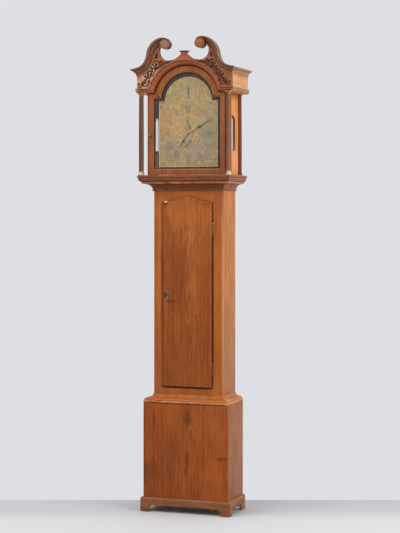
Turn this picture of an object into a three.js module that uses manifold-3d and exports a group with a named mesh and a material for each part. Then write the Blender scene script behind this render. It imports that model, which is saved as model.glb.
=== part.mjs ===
// A longcase pendulum clock: oak case, sliding hood with a swan-neck pediment, brass dial,
// eight-day weight-driven movement and seconds pendulum.
// Millimetres, +X to the viewer's right, +Z up, the dial facing -Y.
// The origin is on the floor, under the middle of the clock.
import * as THREE from 'three';
import { mergeVertices } from 'three/addons/utils/BufferGeometryUtils.js';
import Module from 'manifold-3d';

const wasm = await Module();
wasm.setup();

// Driving dimensions. A depth is measured forward from the wall plane, a level up from the floor.
const gap = 0.3; // left between pieces that turn, slide or are let into each other

// Base
const baseWidth = 437.5;
const baseDepth = 231;
const baseTop = 537;
const baseBoard = 12;
const basePanelBottom = 40;
const skirtBoard = 12;
const skirtHeight = 64;
const apronHeight = 34;
const footWidth = 42;
const footBracket = 44;
const rearFootWidth = 50;
const cuspDrop = 9;

// Trunk
const trunkWidth = 358;
const trunkDepth = 188;
const trunkSideBoard = 14;
const trunkFrameBoard = 16;
const trunkTongue = 30; // how far the trunk reaches down inside the base
const waistHeight = 38;
const trunkHeight = 995; // from the waist moulding to the throat moulding
const throatHeight = 42;
const backboardThickness = 12;

// Trunk door, lipped on three sides and flush on the hinge side
const doorFromLeft = 39; // from the trunk's left edge to the door's
const doorFromRight = 53.5;
const doorAboveWaist = 36;
const doorBelowThroat = 57; // from the door's shoulders to the throat moulding
const trunkDoorLip = 13;
const trunkDoorLipThickness = 6;
const trunkDoorClearance = 1.3;
const doorArchRise = 24;
const doorArchFromEdge = 60.75; // from the door's edge to the foot of its arch
const doorLobeRise = 14;
const doorLobeCusp = 12;
const doorLobeReach = 48;
const doorLobeEase = 18;

// Trunk door lock and hinges
const keyInset = 32; // from the door's left edge
const keyAbove = 451; // above the door's lower edge
const lockWidth = 50;
const lockHeight = 60;
const lockThickness = 12;
const boltHeight = 9;
const boltThickness = 5;
const boltLength = 30;
const keyShaft = 2.4;
const keyBow = 11;
const keyBowWire = 2;
const keyBowStretch = 1.35;
const keyReach = 24; // in front of the trunk
const keyCollarWidth = 4;
const keyCollarReach = 1.4;
const keyhole = 0.6; // round the shank
const boltAboveKey = 14;
const lockInset = 2;
const knuckleRadius = 2.7;
const trunkHingeHeight = 64;
const trunkHingeLeaf = 1.2;
const upperHingeBelow = 128; // below the door's shoulders
const lowerHingeAbove = 89; // above the door's lower edge

// Hood
const hoodRailHeight = 35;
const hoodRailOut = 62; // rail outside the trunk's side
const hoodRailDepth = 264;
const hoodOut = 24; // hood's side outside the trunk's
const hoodSideBoard = 14;
const hoodSideBehind = 1.6; // hood's sides behind the door
const columnHeight = 400.7;
const columnInset = 14; // from the rail's end to the column's axis
const columnSetBack = 26; // from the rail's front
const columnRadius = 12.2;
const columnCapRadius = 15;
const rearColumnOut = 2; // axis outside the hood's side
const rearColumnDepth = 12.4;
const windowDepth = 107;
const windowHalf = 34;
const windowAbove = 121.7; // above the hood's floor
const windowHeight = 170;
const windowRebate = 5;
const paneThickness = 2.5;

// Hood door
const hoodDoorOver = 0.6; // door's edge outside the hood's side
const hoodDoorSetBack = 49; // from the rail's front
const hoodDoorThickness = 18;
const hoodDoorArch = 166;
const hoodDoorStile = 31.6;
const hoodDoorShoulderRail = 24;
const hoodArchDrop = 34; // arch centre below the underside of the architrave
const hoodPinInset = 2.2;
const hoodStrapLength = 38;
const hoodStrapThickness = 2;
const hoodStrapReach = 6; // from the pin back into the door's edge
const hoodPinHeight = 9;
const hoodPinRadius = 1.6;
const knobInset = 13.6; // from the hood door's edge
const knobBelow = 5; // below the middle of the dial
const knobRadius = 7;
const knobSpindle = 2.4;

// Entablature and pediment
const architraveHeight = 24;
const architraveReach = 9;
const architraveFrontReach = 5; // more would stop the hood door before it is square to the dial
const friezeOut = 18; // frieze outside the columns' axes
const friezeForward = 12; // and in front of them
const friezeHeight = 61;
const corniceHeight = 32.5;
const corniceReach = 22.5;
const corniceFrontReach = 32;
const scrollBoard = 16;
const archMouldingInner = 169.5;
const archMouldingHollow = 28; // frieze in front of the archivolt's soffit
const pedimentHeight = 149; // of the swan necks above the cornice
const neckTopX = 108;
const rosetteX = 90;
const rosetteBelow = 31.5; // below the top of the necks
const rosetteRadius = 25;
const boardBehindNeck = 1.5; // edge of the scroll board inside the necks' outer edge
const dipX = 80;
const dipAbove = 39.5; // above the cornice
const plinthHalf = 15;
const plinthShoulderAbove = 28; // above the dips
const plinthHeight = 11;
const plinthCapHalf = 23;
const plinthCapThickness = 6;
const roofBoard = 6;
const roofFlatAbove = 106; // flats above the arch's centre
const roofOverDoor = 5; // between the door's arch and the roof's underside

// Dial and hands
const dialWidth = 305;
const dialAbove = 40.7; // above the hood's floor
const dialHeight = 322; // up to its shoulders
const dialArch = 122;
const dialArchDrop = 4; // arch's centre below the dial's shoulders
const dialBehind = 9; // face of the dial behind the door's rear
const dialThickness = 2.5;
const dialCentreAbove = 161; // above the dial's lower edge
const minuteHandLength = 129;
const handThickness = 1.2;
const smallHandThickness = 0.9;
const hourHandOff = 1.4; // in front of the dial
const minuteHandOff = 4.4;
const handBossRadius = 5;
const smallBossRadius = 3.2;
const hourHandLength = 80;
const secondsAbove = 50;
const dateBelow = 50;
const selectorAbove = 42; // above the dial's shoulders
const windingX = 42;
const windingBelow = 16;
const windingHole = 6.5;

// Movement
const seatBoard = 20;
const seatInset = 1; // seatboard's end inside the trunk's side
const seatRear = 50;
const seatFront = 150;
const plateHalf = 72;
const plateBelow = 80;
const plateAbove = 101;
const plateThickness = 3.5;
const backPlateDepth = 62;
const plateSpace = 61.5;
const pillarRadius = 5;
const pillarInset = 12;
const drumRadius = 25;
const drumFlange = 29;
const drumRear = 79;
const drumFront = 111;
const greatWheelRadius = 41.2;
const greatTeeth = 96;
const greatWheelThickness = 3;
const flangeThickness = 1.6;
const barrelArborRadius = 4;
const windingSquare = 5.6;
const windingSquareLength = 10.5;
const centreWheelRadius = 26;
const centreTeeth = 60;
const thirdWheelRadius = 22.4;
const thirdTeeth = 56;
const escapeWheelRadius = 20;
const escapeTeeth = 30;
const toothHeight = 2;
const pinionTooth = 1.4;
const smallPinionRadius = 2.9;
const smallPinionTooth = 0.9;
const centreLeaves = 8;
const thirdLeaves = 8;
const escapeLeaves = 7;
const escapeToothHeight = 3.5;
const wheelThickness = 2.4;
const pinionLength = 8;
const wheelRoom = 2.5; // between a great wheel and what it turns beside
const centreWheelDepth = 72;
const escapeWheelDepth = 86;
const thirdWheelDepth = 103;
const arborRadius = 1.6;
const centreArborRadius = 2.2;
const hourWheelRadius = 24;
const hourTeeth = 72;
const hourToothHeight = 1.4;
const hourWheelThickness = 2;
const hourPipeRadius = 4;
const palletAbove = 31; // pallet arbor above the escape arbor
const cockOff = 7; // the cock's bridge in front of the pendulum's plane
const cockHalf = 18;
const cockRise = 18;
const cockBelow = 12;
const cockThickness = 3;
const cockLeg = 5;
const cockLug = 7;
const springSlot = 4.4;
const crutchThickness = 3;
const crutchHalf = 5.6;
const crutchTine = 2.2;
const crutchAbove = 26; // above the seatboard
const crutchBar = 4;
const crutchOff = 4; // in front of the cock's rear face
const bellRadius = 40;
const bellHeight = 32;
const bellWall = 2.5;
const bellDepth = 108;
const bellRise = 30; // mouth of the bell above the plates
const hammerX = -47;
const hammerAbove = 66; // above the middle of the dial
const hammerHeadRadius = 6;
const hammerHeadLength = 16;
const hammerFromBell = 1.2;
const hammerAboveMouth = 8;

// Pendulum and weights
const pendulumLength = 994;
const pendulumDepth = 38;
const rodRadius = 2.3;
const bobRadius = 55;
const bobThickness = 26;
const springLength = 50;
const springHalf = 4;
const springThickness = 0.8;
const springBlock = 10;
const springBlockHeight = 6;
const springBlockLift = 0.7;
const threadBelow = 34; // rod below the bob
const ratingNutRadius = 8;
const ratingNutHeight = 8;
const lineRadius = 1;
const lineHole = 5;
const lineBelowDrum = 6; // top of the line's fall below the barrel's axis
const pulleyRadius = 22.5;
const weightRadius = 30;
const weightHeight = 230;
const weightBottom = 160;
const weightDepth = 95;
const hookHeight = 52;
const hookRadius = 2.4;
const yokeHalf = 4;
const yokeOut = 9;
const yokeCheek = 2.5;
const yokeThickness = 3;
const yokeBelow = 27; // below the pulley's axle
const yokeAbove = 5;
const pulleyHalf = 4.5;
const pulleyRim = 3;
const pulleyRimThickness = 1;
const grooveHalf = 1.6;

// Levels and places that follow from the sizes above
const trunkDoorLeft = doorFromLeft - trunkWidth / 2;
const trunkDoorRight = trunkWidth / 2 - doorFromRight;
const doorArchHalf = (trunkDoorRight - trunkDoorLeft) / 2 - doorArchFromEdge;
const hoodRailHalf = trunkWidth / 2 + hoodRailOut;
const hoodSideHalf = trunkWidth / 2 + hoodOut;
const hoodDoorHalf = hoodSideHalf + hoodDoorOver;
const seatHalf = trunkWidth / 2 - seatInset;
const columnX = hoodRailHalf - columnInset;
const columnDepth = hoodRailDepth - columnSetBack;
const friezeHalf = columnX + friezeOut;
const friezeFront = columnDepth + friezeForward;
const rearColumnX = hoodSideHalf + rearColumnOut;
const totalDepth = friezeFront + corniceFrontReach;
const hoodDoorFront = hoodRailDepth - hoodDoorSetBack;
const hoodDoorRear = hoodDoorFront - hoodDoorThickness;
const hoodSideDepth = hoodDoorRear - hoodSideBehind;
const dialFront = hoodDoorRear - dialBehind;
const wall = totalDepth / 2;
const waistTop = baseTop + waistHeight;
const throatBottom = waistTop + trunkHeight;
const trunkDoorBottom = waistTop + doorAboveWaist;
const trunkDoorShoulder = throatBottom - doorBelowThroat;
const keyX = trunkDoorLeft + keyInset;
const keyZ = trunkDoorBottom + keyAbove;
const trunkHingeUpper = trunkDoorShoulder - upperHingeBelow;
const trunkHingeLower = trunkDoorBottom + lowerHingeAbove;
const throatTop = throatBottom + throatHeight;
const railBottom = throatTop + gap;
const hoodFloor = railBottom + hoodRailHeight;
const entablatureBottom = hoodFloor + columnHeight;
const architraveTop = entablatureBottom + architraveHeight;
const corniceBottom = architraveTop + friezeHeight;
const corniceTop = corniceBottom + corniceHeight;
const neckTop = corniceTop + pedimentHeight;
const rosetteZ = neckTop - rosetteBelow;
const dipZ = corniceTop + dipAbove;
const plinthShoulder = dipZ + plinthShoulderAbove;
const plinthTop = plinthShoulder + plinthHeight;
const windowBottom = hoodFloor + windowAbove;
const windowTop = windowBottom + windowHeight;
const dialBottom = hoodFloor + dialAbove;
const dialShoulder = dialBottom + dialHeight;
const dialArchCentre = dialShoulder - dialArchDrop;
const dialCentre = dialBottom + dialCentreAbove;
const strikeSelectorZ = dialShoulder + selectorAbove;
const hammerZ = dialCentre + hammerAbove;
const knobX = knobInset - hoodDoorHalf;
const knobZ = dialCentre - knobBelow;
const archCentre = entablatureBottom - hoodArchDrop;
const archMouldingRear = hoodDoorFront + 1;
const trunkInner = trunkWidth / 2 - trunkSideBoard;
const trunkFrameRear = trunkDepth - trunkFrameBoard;
const dialRear = dialFront - dialThickness;
const seatTop = dialCentre - plateBelow - gap;
const seatBottom = seatTop - seatBoard;
const cheekTop = seatBottom - gap;
const plateBottom = dialCentre - plateBelow;
const plateTop = dialCentre + plateAbove;
const backPlateFront = backPlateDepth + plateThickness;
const frontPlateRear = backPlateFront + plateSpace;
const frontPlateFront = frontPlateRear + plateThickness;
const windingZ = dialCentre - windingBelow;
const escapeZ = dialCentre + secondsAbove;
const palletZ = escapeZ + palletAbove;
const bobZ = palletZ - pendulumLength;
const bellMouth = plateTop + bellRise;
const centrePinionRadius = Math.hypot(windingX, windingBelow) - greatWheelRadius - gap;

// Materials
function wood(colour, roughness = 0.5) {
  return new THREE.MeshStandardMaterial({ color: colour, roughness, metalness: 0 });
}
function oak() {
  return wood(0x9a5526);
}
function sideOak() {
  return wood(0xb67a4c);
}
function darkOak() {
  return wood(0x743b1e);
}
function pine() {
  return wood(0xa8845a, 0.8);
}
function brass() {
  return new THREE.MeshStandardMaterial({ color: 0xb08d4a, roughness: 0.4, metalness: 0.9 });
}
function dialBrass() {
  return new THREE.MeshStandardMaterial({ color: 0xb09a63, roughness: 0.55, metalness: 0.6 });
}
function steel() {
  return new THREE.MeshStandardMaterial({ color: 0x34353a, roughness: 0.35, metalness: 0.9 });
}
function castIron() {
  return new THREE.MeshStandardMaterial({ color: 0x3a3a3c, roughness: 0.7, metalness: 0.6 });
}
function windowGlass() {
  const glass = { color: 0xdfe6e4, roughness: 0.05, metalness: 0, transparent: true, opacity: 0.25 };
  return new THREE.MeshStandardMaterial(glass);
}
function gut() {
  return new THREE.MeshStandardMaterial({ color: 0xc2a878, roughness: 0.6, metalness: 0 });
}

// Solids: joining and cutting
function solid(geometry) {
  const bare = new THREE.BufferGeometry();
  bare.setAttribute('position', geometry.getAttribute('position'));
  bare.setIndex(geometry.index);
  const merged = mergeVertices(bare, 1e-4);
  const index = merged.index.array;
  const triangles = [];
  for (let i = 0; i < index.length; i += 3) {
    const [a, b, c] = [index[i], index[i + 1], index[i + 2]];
    if (a !== b && b !== c && c !== a) triangles.push(a, b, c);
  }
  const vertProperties = new Float32Array(merged.getAttribute('position').array);
  const triVerts = new Uint32Array(triangles);
  return new wasm.Manifold(new wasm.Mesh({ numProp: 3, vertProperties, triVerts }));
}

function geometryOf(body) {
  const mesh = body.getMesh();
  const geometry = new THREE.BufferGeometry();
  geometry.setAttribute('position', new THREE.BufferAttribute(mesh.vertProperties, 3));
  geometry.setIndex(new THREE.BufferAttribute(mesh.triVerts, 1));
  geometry.computeVertexNormals();
  return geometry;
}

function join(...geometries) {
  return geometryOf(geometries.map(solid).reduce((a, b) => a.add(b)));
}

function cut(geometry, ...tools) {
  return geometryOf(tools.map(solid).reduce((a, b) => a.subtract(b), solid(geometry)));
}

// Boxes and round bars, placed by side, depth and level
function slab(x0, x1, d0, d1, z0, z1) {
  const geometry = new THREE.BoxGeometry(x1 - x0, d1 - d0, z1 - z0);
  return geometry.translate((x0 + x1) / 2, wall - (d0 + d1) / 2, (z0 + z1) / 2);
}

function arbor(x, z, radius, d0, d1, sides = 10) {
  const geometry = new THREE.CylinderGeometry(radius, radius, d1 - d0, sides);
  return geometry.translate(x, wall - (d0 + d1) / 2, z);
}

function post(x, depth, radius, z0, z1, sides = 12) {
  const geometry = new THREE.CylinderGeometry(radius, radius, z1 - z0, sides).rotateX(Math.PI / 2);
  return geometry.translate(x, wall - depth, (z0 + z1) / 2);
}

// An outline of side and level, given a thickness from depth d0 forward to d1
function frontal(shape, d0, d1, curveSegments = 12) {
  const geometry = new THREE.ExtrudeGeometry(shape, { depth: d1 - d0, bevelEnabled: false, curveSegments });
  return geometry.rotateX(Math.PI / 2).translate(0, wall - d0, 0);
}

// An outline of depth and level, given a thickness from side x0 to x1
function sideways(shape, x0, x1, curveSegments = 8) {
  const geometry = new THREE.ExtrudeGeometry(shape, { depth: x1 - x0, bevelEnabled: false, curveSegments });
  const turn = new THREE.Matrix4().set(0, 0, -1, x1, -1, 0, 0, wall, 0, 1, 0, 0, 0, 0, 0, 1);
  return geometry.applyMatrix4(turn);
}

// A plan of side and depth, given a height from level z0 to z1
function upright(plan, z0, z1) {
  const shape = outline(plan.map(([x, d]) => [x, wall - d]));
  return new THREE.ExtrudeGeometry(shape, { depth: z1 - z0, bevelEnabled: false }).translate(0, 0, z0);
}

// A profile of radius and level turned about an upright axis
function turned(profile, x, depth, sides = 12) {
  const points = profile.map(([r, z]) => new THREE.Vector2(r, z));
  const geometry = new THREE.LatheGeometry(points, sides).rotateX(Math.PI / 2);
  return geometry.translate(x, wall - depth, 0);
}

// A profile of radius and depth turned about an axis that runs from front to back
function turnedAcross(profile, x, z, sides = 18) {
  const points = profile.map(([r, d]) => new THREE.Vector2(r, -d)).reverse();
  return new THREE.LatheGeometry(points, sides).translate(x, wall, z);
}

function outline(points) {
  return new THREE.Shape(points.map(([a, b]) => new THREE.Vector2(a, b)));
}

function circle(x, z, radius) {
  return new THREE.Shape().absarc(x, z, radius, 0, 2 * Math.PI, false);
}

function mirrorX(geometry) {
  const flipped = geometry.index ? geometry.toNonIndexed() : geometry.clone();
  const position = flipped.getAttribute('position');
  for (let i = 0; i < position.count; i += 1) position.setX(i, -position.getX(i));
  for (let i = 0; i < position.count; i += 3) {
    const swap = [position.getX(i), position.getY(i), position.getZ(i)];
    position.setXYZ(i, position.getX(i + 1), position.getY(i + 1), position.getZ(i + 1));
    position.setXYZ(i + 1, ...swap);
  }
  flipped.deleteAttribute('normal');
  flipped.deleteAttribute('uv');
  const merged = mergeVertices(flipped, 1e-4);
  merged.computeVertexNormals();
  return merged;
}

// Rings of points joined one to the next and closed at both ends. The section is the same ring
// in two dimensions, and says how the ends are filled.
function loft(rings, section) {
  const count = section.length;
  const index = [];
  for (let i = 0; i + 1 < rings.length; i += 1) {
    for (let j = 0; j < count; j += 1) {
      const [a, b] = [i * count + j, i * count + ((j + 1) % count)];
      index.push(a, b, b + count, a, b + count, a + count);
    }
  }
  const flat = section.map(([u, v]) => new THREE.Vector2(u, v));
  const last = (rings.length - 1) * count;
  for (const [a, b, c] of THREE.ShapeUtils.triangulateShape(flat, [])) {
    const turn = THREE.ShapeUtils.area(flat) > 0 ? [a, c, b] : [a, b, c];
    index.push(...turn, ...turn.map((k) => k + last).reverse());
  }
  const geometry = new THREE.BufferGeometry();
  geometry.setAttribute('position', new THREE.Float32BufferAttribute(rings.flat(2), 3));
  geometry.setIndex(volume(rings.flat(), index) < 0 ? index.reverse() : index);
  geometry.computeVertexNormals();
  return geometry;
}

function volume(points, index) {
  let six = 0;
  for (let i = 0; i < index.length; i += 3) {
    const [a, b, c] = [0, 1, 2].map((k) => new THREE.Vector3(...points[index[i + k]]));
    six += a.dot(b.cross(c));
  }
  return six / 6;
}

// A quarter of an ellipse between two points of a profile, leaving the first along its first axis
// or along its second.
function quarter([a0, b0], [a1, b1], first, steps = 5) {
  const points = [];
  for (let i = 1; i <= steps; i += 1) {
    const angle = (i / steps) * (Math.PI / 2);
    const [s, c] = [Math.sin(angle), 1 - Math.cos(angle)];
    points.push([a0 + (a1 - a0) * (first ? s : c), b0 + (b1 - b0) * (first ? c : s)]);
  }
  return points;
}

// A moulding carried round the two sides and the front of the case. The profile gives the reach
// as a share of the full reach, and the level.
function wrapMoulding(profile, halfWidth, depth, sideReach, frontReach) {
  const place = (sx, front) => profile.map(([reach, level]) => [
    sx * (halfWidth + reach * sideReach),
    wall - (front ? depth + reach * frontReach : 0),
    level,
  ]);
  return loft([place(-1, false), place(-1, true), place(1, true), place(1, false)], profile);
}

const clock = new THREE.Group();
clock.name = 'longcase_clock';

function piece(name, geometry, material) {
  const mesh = new THREE.Mesh(geometry, material);
  mesh.name = name;
  clock.add(mesh);
  return mesh;
}

// Case: backboard, whose arched head closes the hood behind its roof
function backboard() {
  const baseHalf = baseWidth / 2 - baseBoard;
  const hoodHalf = hoodSideHalf - hoodSideBoard - gap;
  const shoulder = seatTop + 1;
  const tongue = baseTop - trunkTongue - gap;
  const headRadius = hoodDoorArch + roofOverDoor + roofBoard;
  const headShoulder = roofFlatAbove + roofBoard;
  const angle = Math.asin(headShoulder / headRadius);
  const head = new THREE.EllipseCurve(0, archCentre, headRadius, headRadius, angle, Math.PI - angle);
  const half = [
    [baseHalf, basePanelBottom],
    [baseHalf, tongue],
    [trunkInner, tongue],
    [trunkInner, shoulder],
    [hoodHalf, shoulder],
    [hoodHalf, archCentre + headShoulder],
  ];
  const crown = head.getPoints(24).map(({ x, y }) => [x, y]);
  const points = [...half, ...crown, ...half.map(([x, z]) => [-x, z]).reverse()];
  piece('backboard', frontal(outline(points), 0, backboardThickness), pine());
}

// Case: base box
function baseBox() {
  const half = baseWidth / 2;
  const front = baseDepth - baseBoard;
  piece('base_front', slab(-half, half, front, baseDepth, basePanelBottom, baseTop), oak());
  piece('base_side_left', slab(-half, baseBoard - half, 0, front, basePanelBottom, baseTop), sideOak());
  piece('base_side_right', slab(half - baseBoard, half, 0, front, basePanelBottom, baseTop), sideOak());
}

// Lower edge of a skirt board from one foot's tip to the next foot: the cut that leaves a foot,
// its round bracket and the small cusp.
function bracket(shape, footEdge, way) {
  const cuspX = footEdge + way * footBracket;
  const height = apronHeight;
  shape.lineTo(footEdge, 0);
  shape.quadraticCurveTo(footEdge + way * 3, height, footEdge + way * footBracket * 0.5, height);
  shape.quadraticCurveTo(cuspX - way * 4, height, cuspX, height - cuspDrop);
  shape.quadraticCurveTo(cuspX + way * 2, height, cuspX + way * cuspDrop, height);
}

function mirroredBracket(shape, footEdge, way) {
  const cuspX = footEdge + way * footBracket;
  const height = apronHeight;
  shape.lineTo(cuspX + way * cuspDrop, height);
  shape.quadraticCurveTo(cuspX + way * 2, height, cuspX, height - cuspDrop);
  shape.quadraticCurveTo(cuspX - way * 4, height, footEdge + way * footBracket * 0.5, height);
  shape.quadraticCurveTo(footEdge + way * 3, height, footEdge, 0);
}

function skirts() {
  const half = baseWidth / 2 + skirtBoard;
  const front = new THREE.Shape();
  front.moveTo(-half, skirtHeight);
  front.lineTo(-half, 0);
  bracket(front, -half + footWidth, 1);
  mirroredBracket(front, half - footWidth, -1);
  front.lineTo(half, 0);
  front.lineTo(half, skirtHeight);
  piece('skirt_front', frontal(front, baseDepth, baseDepth + skirtBoard, 3), darkOak());

  const side = new THREE.Shape();
  side.moveTo(0, skirtHeight);
  side.lineTo(0, 0);
  bracket(side, rearFootWidth, 1);
  mirroredBracket(side, baseDepth + skirtBoard - footWidth, -1);
  side.lineTo(baseDepth, 0);
  side.lineTo(baseDepth, skirtHeight);
  piece('skirt_left', sideways(side, -half, -baseWidth / 2, 3), darkOak());
  piece('skirt_right', sideways(side, baseWidth / 2, half, 3), darkOak());
}

// Moulding that steps in from the base to the trunk
function waistMoulding() {
  const sideReach = (baseWidth - trunkWidth) / 2;
  const frontReach = baseDepth - trunkDepth;
  const at = (share) => baseTop + share * waistHeight;
  const profile = [
    [0, baseTop],
    [1, baseTop],
    [1, at(0.184)],
    [0.93, at(0.21)],
    ...quarter([0.93, at(0.21)], [0.36, at(0.632)], false),
    [0.28, at(0.632)],
    [0.28, at(0.737)],
    ...quarter([0.28, at(0.737)], [0.05, at(0.947)], false, 4),
    [0, waistTop],
  ];
  const moulding = wrapMoulding(profile, trunkWidth / 2, trunkDepth, sideReach, frontReach);
  piece('waist_moulding', moulding, darkOak());
}

// Trunk: side boards that run up inside the hood as cheeks and carry the seatboard
function trunkSides() {
  const half = trunkWidth / 2;
  const bottom = baseTop - trunkTongue;
  piece('trunk_side_left', slab(-half, -trunkInner, 0, trunkFrameRear, bottom, cheekTop), sideOak());
  piece('trunk_side_right', slab(trunkInner, half, 0, trunkFrameRear, bottom, cheekTop), sideOak());
}

// Outline of the trunk door or its opening: square below, and above an arch between two lobes
function doorOutline(left, right, bottom, shoulder, kind = THREE.Shape) {
  const middle = (left + right) / 2;
  const half = (right - left) / 2;
  const lobe = half - doorLobeReach;
  const cusp = shoulder + doorLobeCusp;
  const radius = (doorArchHalf ** 2 + doorArchRise ** 2) / (2 * doorArchRise);
  const swing = Math.asin(doorArchHalf / radius);
  const shape = new kind();
  shape.moveTo(left, bottom);
  shape.lineTo(right, bottom);
  shape.lineTo(right, shoulder);
  const crown = shoulder + doorLobeRise;
  shape.quadraticCurveTo(middle + lobe + doorLobeEase, crown, middle + lobe, crown);
  shape.lineTo(middle + doorArchHalf, cusp);
  const centre = cusp + doorArchRise - radius;
  shape.absarc(middle, centre, radius, Math.PI / 2 - swing, Math.PI / 2 + swing, false);
  shape.lineTo(middle - lobe, crown);
  shape.quadraticCurveTo(middle - lobe - doorLobeEase, crown, left, shoulder);
  shape.closePath();
  return shape;
}

const doorBodyLeft = trunkDoorLeft + trunkDoorLip;
const doorBodyBottom = trunkDoorBottom + trunkDoorLip;
const doorBodyShoulder = trunkDoorShoulder - trunkDoorLip;
const trunkOpeningRight = trunkDoorRight + trunkHingeLeaf + 2 * gap;

function trunkFrontFrame() {
  const half = trunkWidth / 2;
  const bottom = baseTop - trunkTongue;
  const frame = outline([[-half, bottom], [half, bottom], [half, throatTop], [-half, throatTop]]);
  const c = trunkDoorClearance;
  frame.holes.push(doorOutline(
    doorBodyLeft - c,
    trunkOpeningRight,
    doorBodyBottom - c,
    doorBodyShoulder + c,
    THREE.Path,
  ));
  piece('trunk_front_frame', frontal(frame, trunkFrameRear, trunkDepth, 8), oak());
}

function trunkDoor() {
  const lipRear = trunkDepth + gap;
  const lipFront = lipRear + trunkDoorLipThickness;
  const lip = doorOutline(trunkDoorLeft, trunkDoorRight, trunkDoorBottom, trunkDoorShoulder);
  const body = doorOutline(doorBodyLeft, trunkDoorRight, doorBodyBottom, doorBodyShoulder);
  const door = join(frontal(body, trunkFrameRear, lipRear + 1, 8), frontal(lip, lipRear, lipFront, 8));
  const hole = arbor(keyX, keyZ, keyShaft + keyhole, trunkFrameRear - 1, lipFront + 1, 10);
  piece('trunk_door', cut(door, hole), oak());
}

// Brass butt hinges: a knuckle proud of the door's edge and a leaf let in beside the door
const trunkHingeX = trunkDoorRight + knuckleRadius + gap;
const trunkHingeDepth = trunkDepth + knuckleRadius + gap;

function trunkHinge(name, level) {
  const z0 = level - trunkHingeHeight / 2;
  const z1 = level + trunkHingeHeight / 2;
  const leafLeft = trunkDoorRight + gap;
  const leaf = slab(leafLeft, leafLeft + trunkHingeLeaf, trunkFrameRear + 2, trunkHingeDepth, z0, z1);
  const knuckle = post(trunkHingeX, trunkHingeDepth, knuckleRadius, z0, z1, 10);
  piece(name, join(leaf, knuckle), brass());
}

// Lock, bolt and key of the trunk door
const lockFront = trunkFrameRear;
const lockRear = lockFront - lockThickness;
const lockLeft = doorBodyLeft + lockInset;
const boltZ = keyZ + boltAboveKey;

function trunkLock() {
  const z0 = keyZ - lockHeight / 2;
  const z1 = keyZ + lockHeight / 2;
  const body = slab(lockLeft, lockLeft + lockWidth, lockRear, lockFront, z0, z1);
  const middle = (lockFront + lockRear) / 2;
  const h = boltHeight / 2 + gap;
  const t = boltThickness / 2 + gap;
  const boltRight = lockLeft + boltLength;
  const channel = slab(lockLeft - 1, boltRight + gap, middle - t, middle + t, boltZ - h, boltZ + h);
  const keyway = arbor(keyX, keyZ, keyShaft + keyhole, lockRear - 1, lockFront + 1, 10);
  piece('trunk_lock', cut(body, channel, keyway), steel());
  const [bh, bt] = [boltHeight / 2, boltThickness / 2];
  const bolt = slab(lockLeft, boltRight, middle - bt, middle + bt, boltZ - bh, boltZ + bh);
  piece('trunk_lock_bolt', bolt, brass());
}

function trunkKey() {
  const end = trunkDepth + keyReach;
  const wire = keyBowWire;
  const shank = arbor(keyX, keyZ, keyShaft, lockRear + 2, end, 10);
  const ring = new THREE.TorusGeometry(keyBow - wire, wire, 6, 14).rotateY(Math.PI / 2);
  ring.scale(1, 1, keyBowStretch).translate(keyX, wall - (end - wire + keyBow), keyZ);
  const collarFront = end - 1.5 * keyCollarWidth;
  const collar = arbor(keyX, keyZ, keyShaft + keyCollarReach, collarFront - keyCollarWidth, collarFront, 10);
  piece('trunk_key', join(shank, collar, ring), steel());
}

// Throat moulding: the big cove under the hood
const throatShare = 0.74; // of the whole reach from the trunk to the tip of the hood's rail

function throatMoulding() {
  const sideReach = hoodRailHalf - trunkWidth / 2;
  const frontReach = hoodRailDepth - trunkDepth;
  const at = (share) => throatBottom + share * throatHeight;
  const profile = [
    [0, throatBottom],
    [0.07, at(0.024)],
    [0.1, at(0.095)],
    [0.07, at(0.167)],
    [0.07, at(0.214)],
    ...quarter([0.07, at(0.214)], [throatShare - 0.06, at(0.881)], false, 7),
    [throatShare, at(0.881)],
    [throatShare, throatTop],
    [0, throatTop],
  ];
  const moulding = wrapMoulding(profile, trunkWidth / 2, trunkDepth, sideReach, frontReach);
  piece('throat_moulding', moulding, darkOak());
}

// Hood: moulded rail that rests on the throat moulding and slides on it
function hoodRail() {
  const clear = 2 * gap;
  const sideReach = hoodRailHalf - trunkWidth / 2 - clear;
  const frontReach = hoodRailDepth - trunkDepth - clear;
  const at = (share) => railBottom + share * hoodRailHeight;
  const profile = [
    [0, railBottom],
    [throatShare, railBottom],
    [throatShare, at(0.114)],
    ...quarter([throatShare, at(0.114)], [0.95, at(0.571)], true, 5),
    [0.95, at(0.657)],
    [1, at(0.686)],
    [1, at(0.857)],
    [0.93, hoodFloor],
    [0, hoodFloor],
  ];
  const rail = wrapMoulding(profile, trunkWidth / 2 + clear, trunkDepth + clear, sideReach, frontReach);
  const pinHole = post(hoodPinX, hoodPinDepth, hoodPinRadius + gap, hoodFloor - 12, hoodFloor + 1, 10);
  piece('hood_rail', cut(rail, pinHole), darkOak());
}

// Hood sides, each with a round-headed window and an engaged column at the back edge
function windowOutline(grow) {
  const half = windowHalf + grow;
  const spring = windowTop - windowHalf;
  const shape = new THREE.Shape();
  shape.moveTo(windowDepth - half, windowBottom - grow);
  shape.lineTo(windowDepth + half, windowBottom - grow);
  shape.lineTo(windowDepth + half, spring);
  shape.absarc(windowDepth, spring, half, 0, Math.PI, false);
  shape.closePath();
  return shape;
}

function columnProfile(bottom, top, radius) {
  const cap = columnCapRadius;
  return [
    [0, bottom],
    [cap, bottom],
    [cap, bottom + 5],
    [cap - 1.5, bottom + 8],
    [cap, bottom + 11],
    [radius, bottom + 15],
    [radius - 0.2, (bottom + top) / 2],
    [radius - 1, top - 18],
    [radius + 1, top - 15],
    [radius, top - 12],
    [cap, top - 6],
    [cap, top],
    [0, top],
  ];
}

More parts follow.
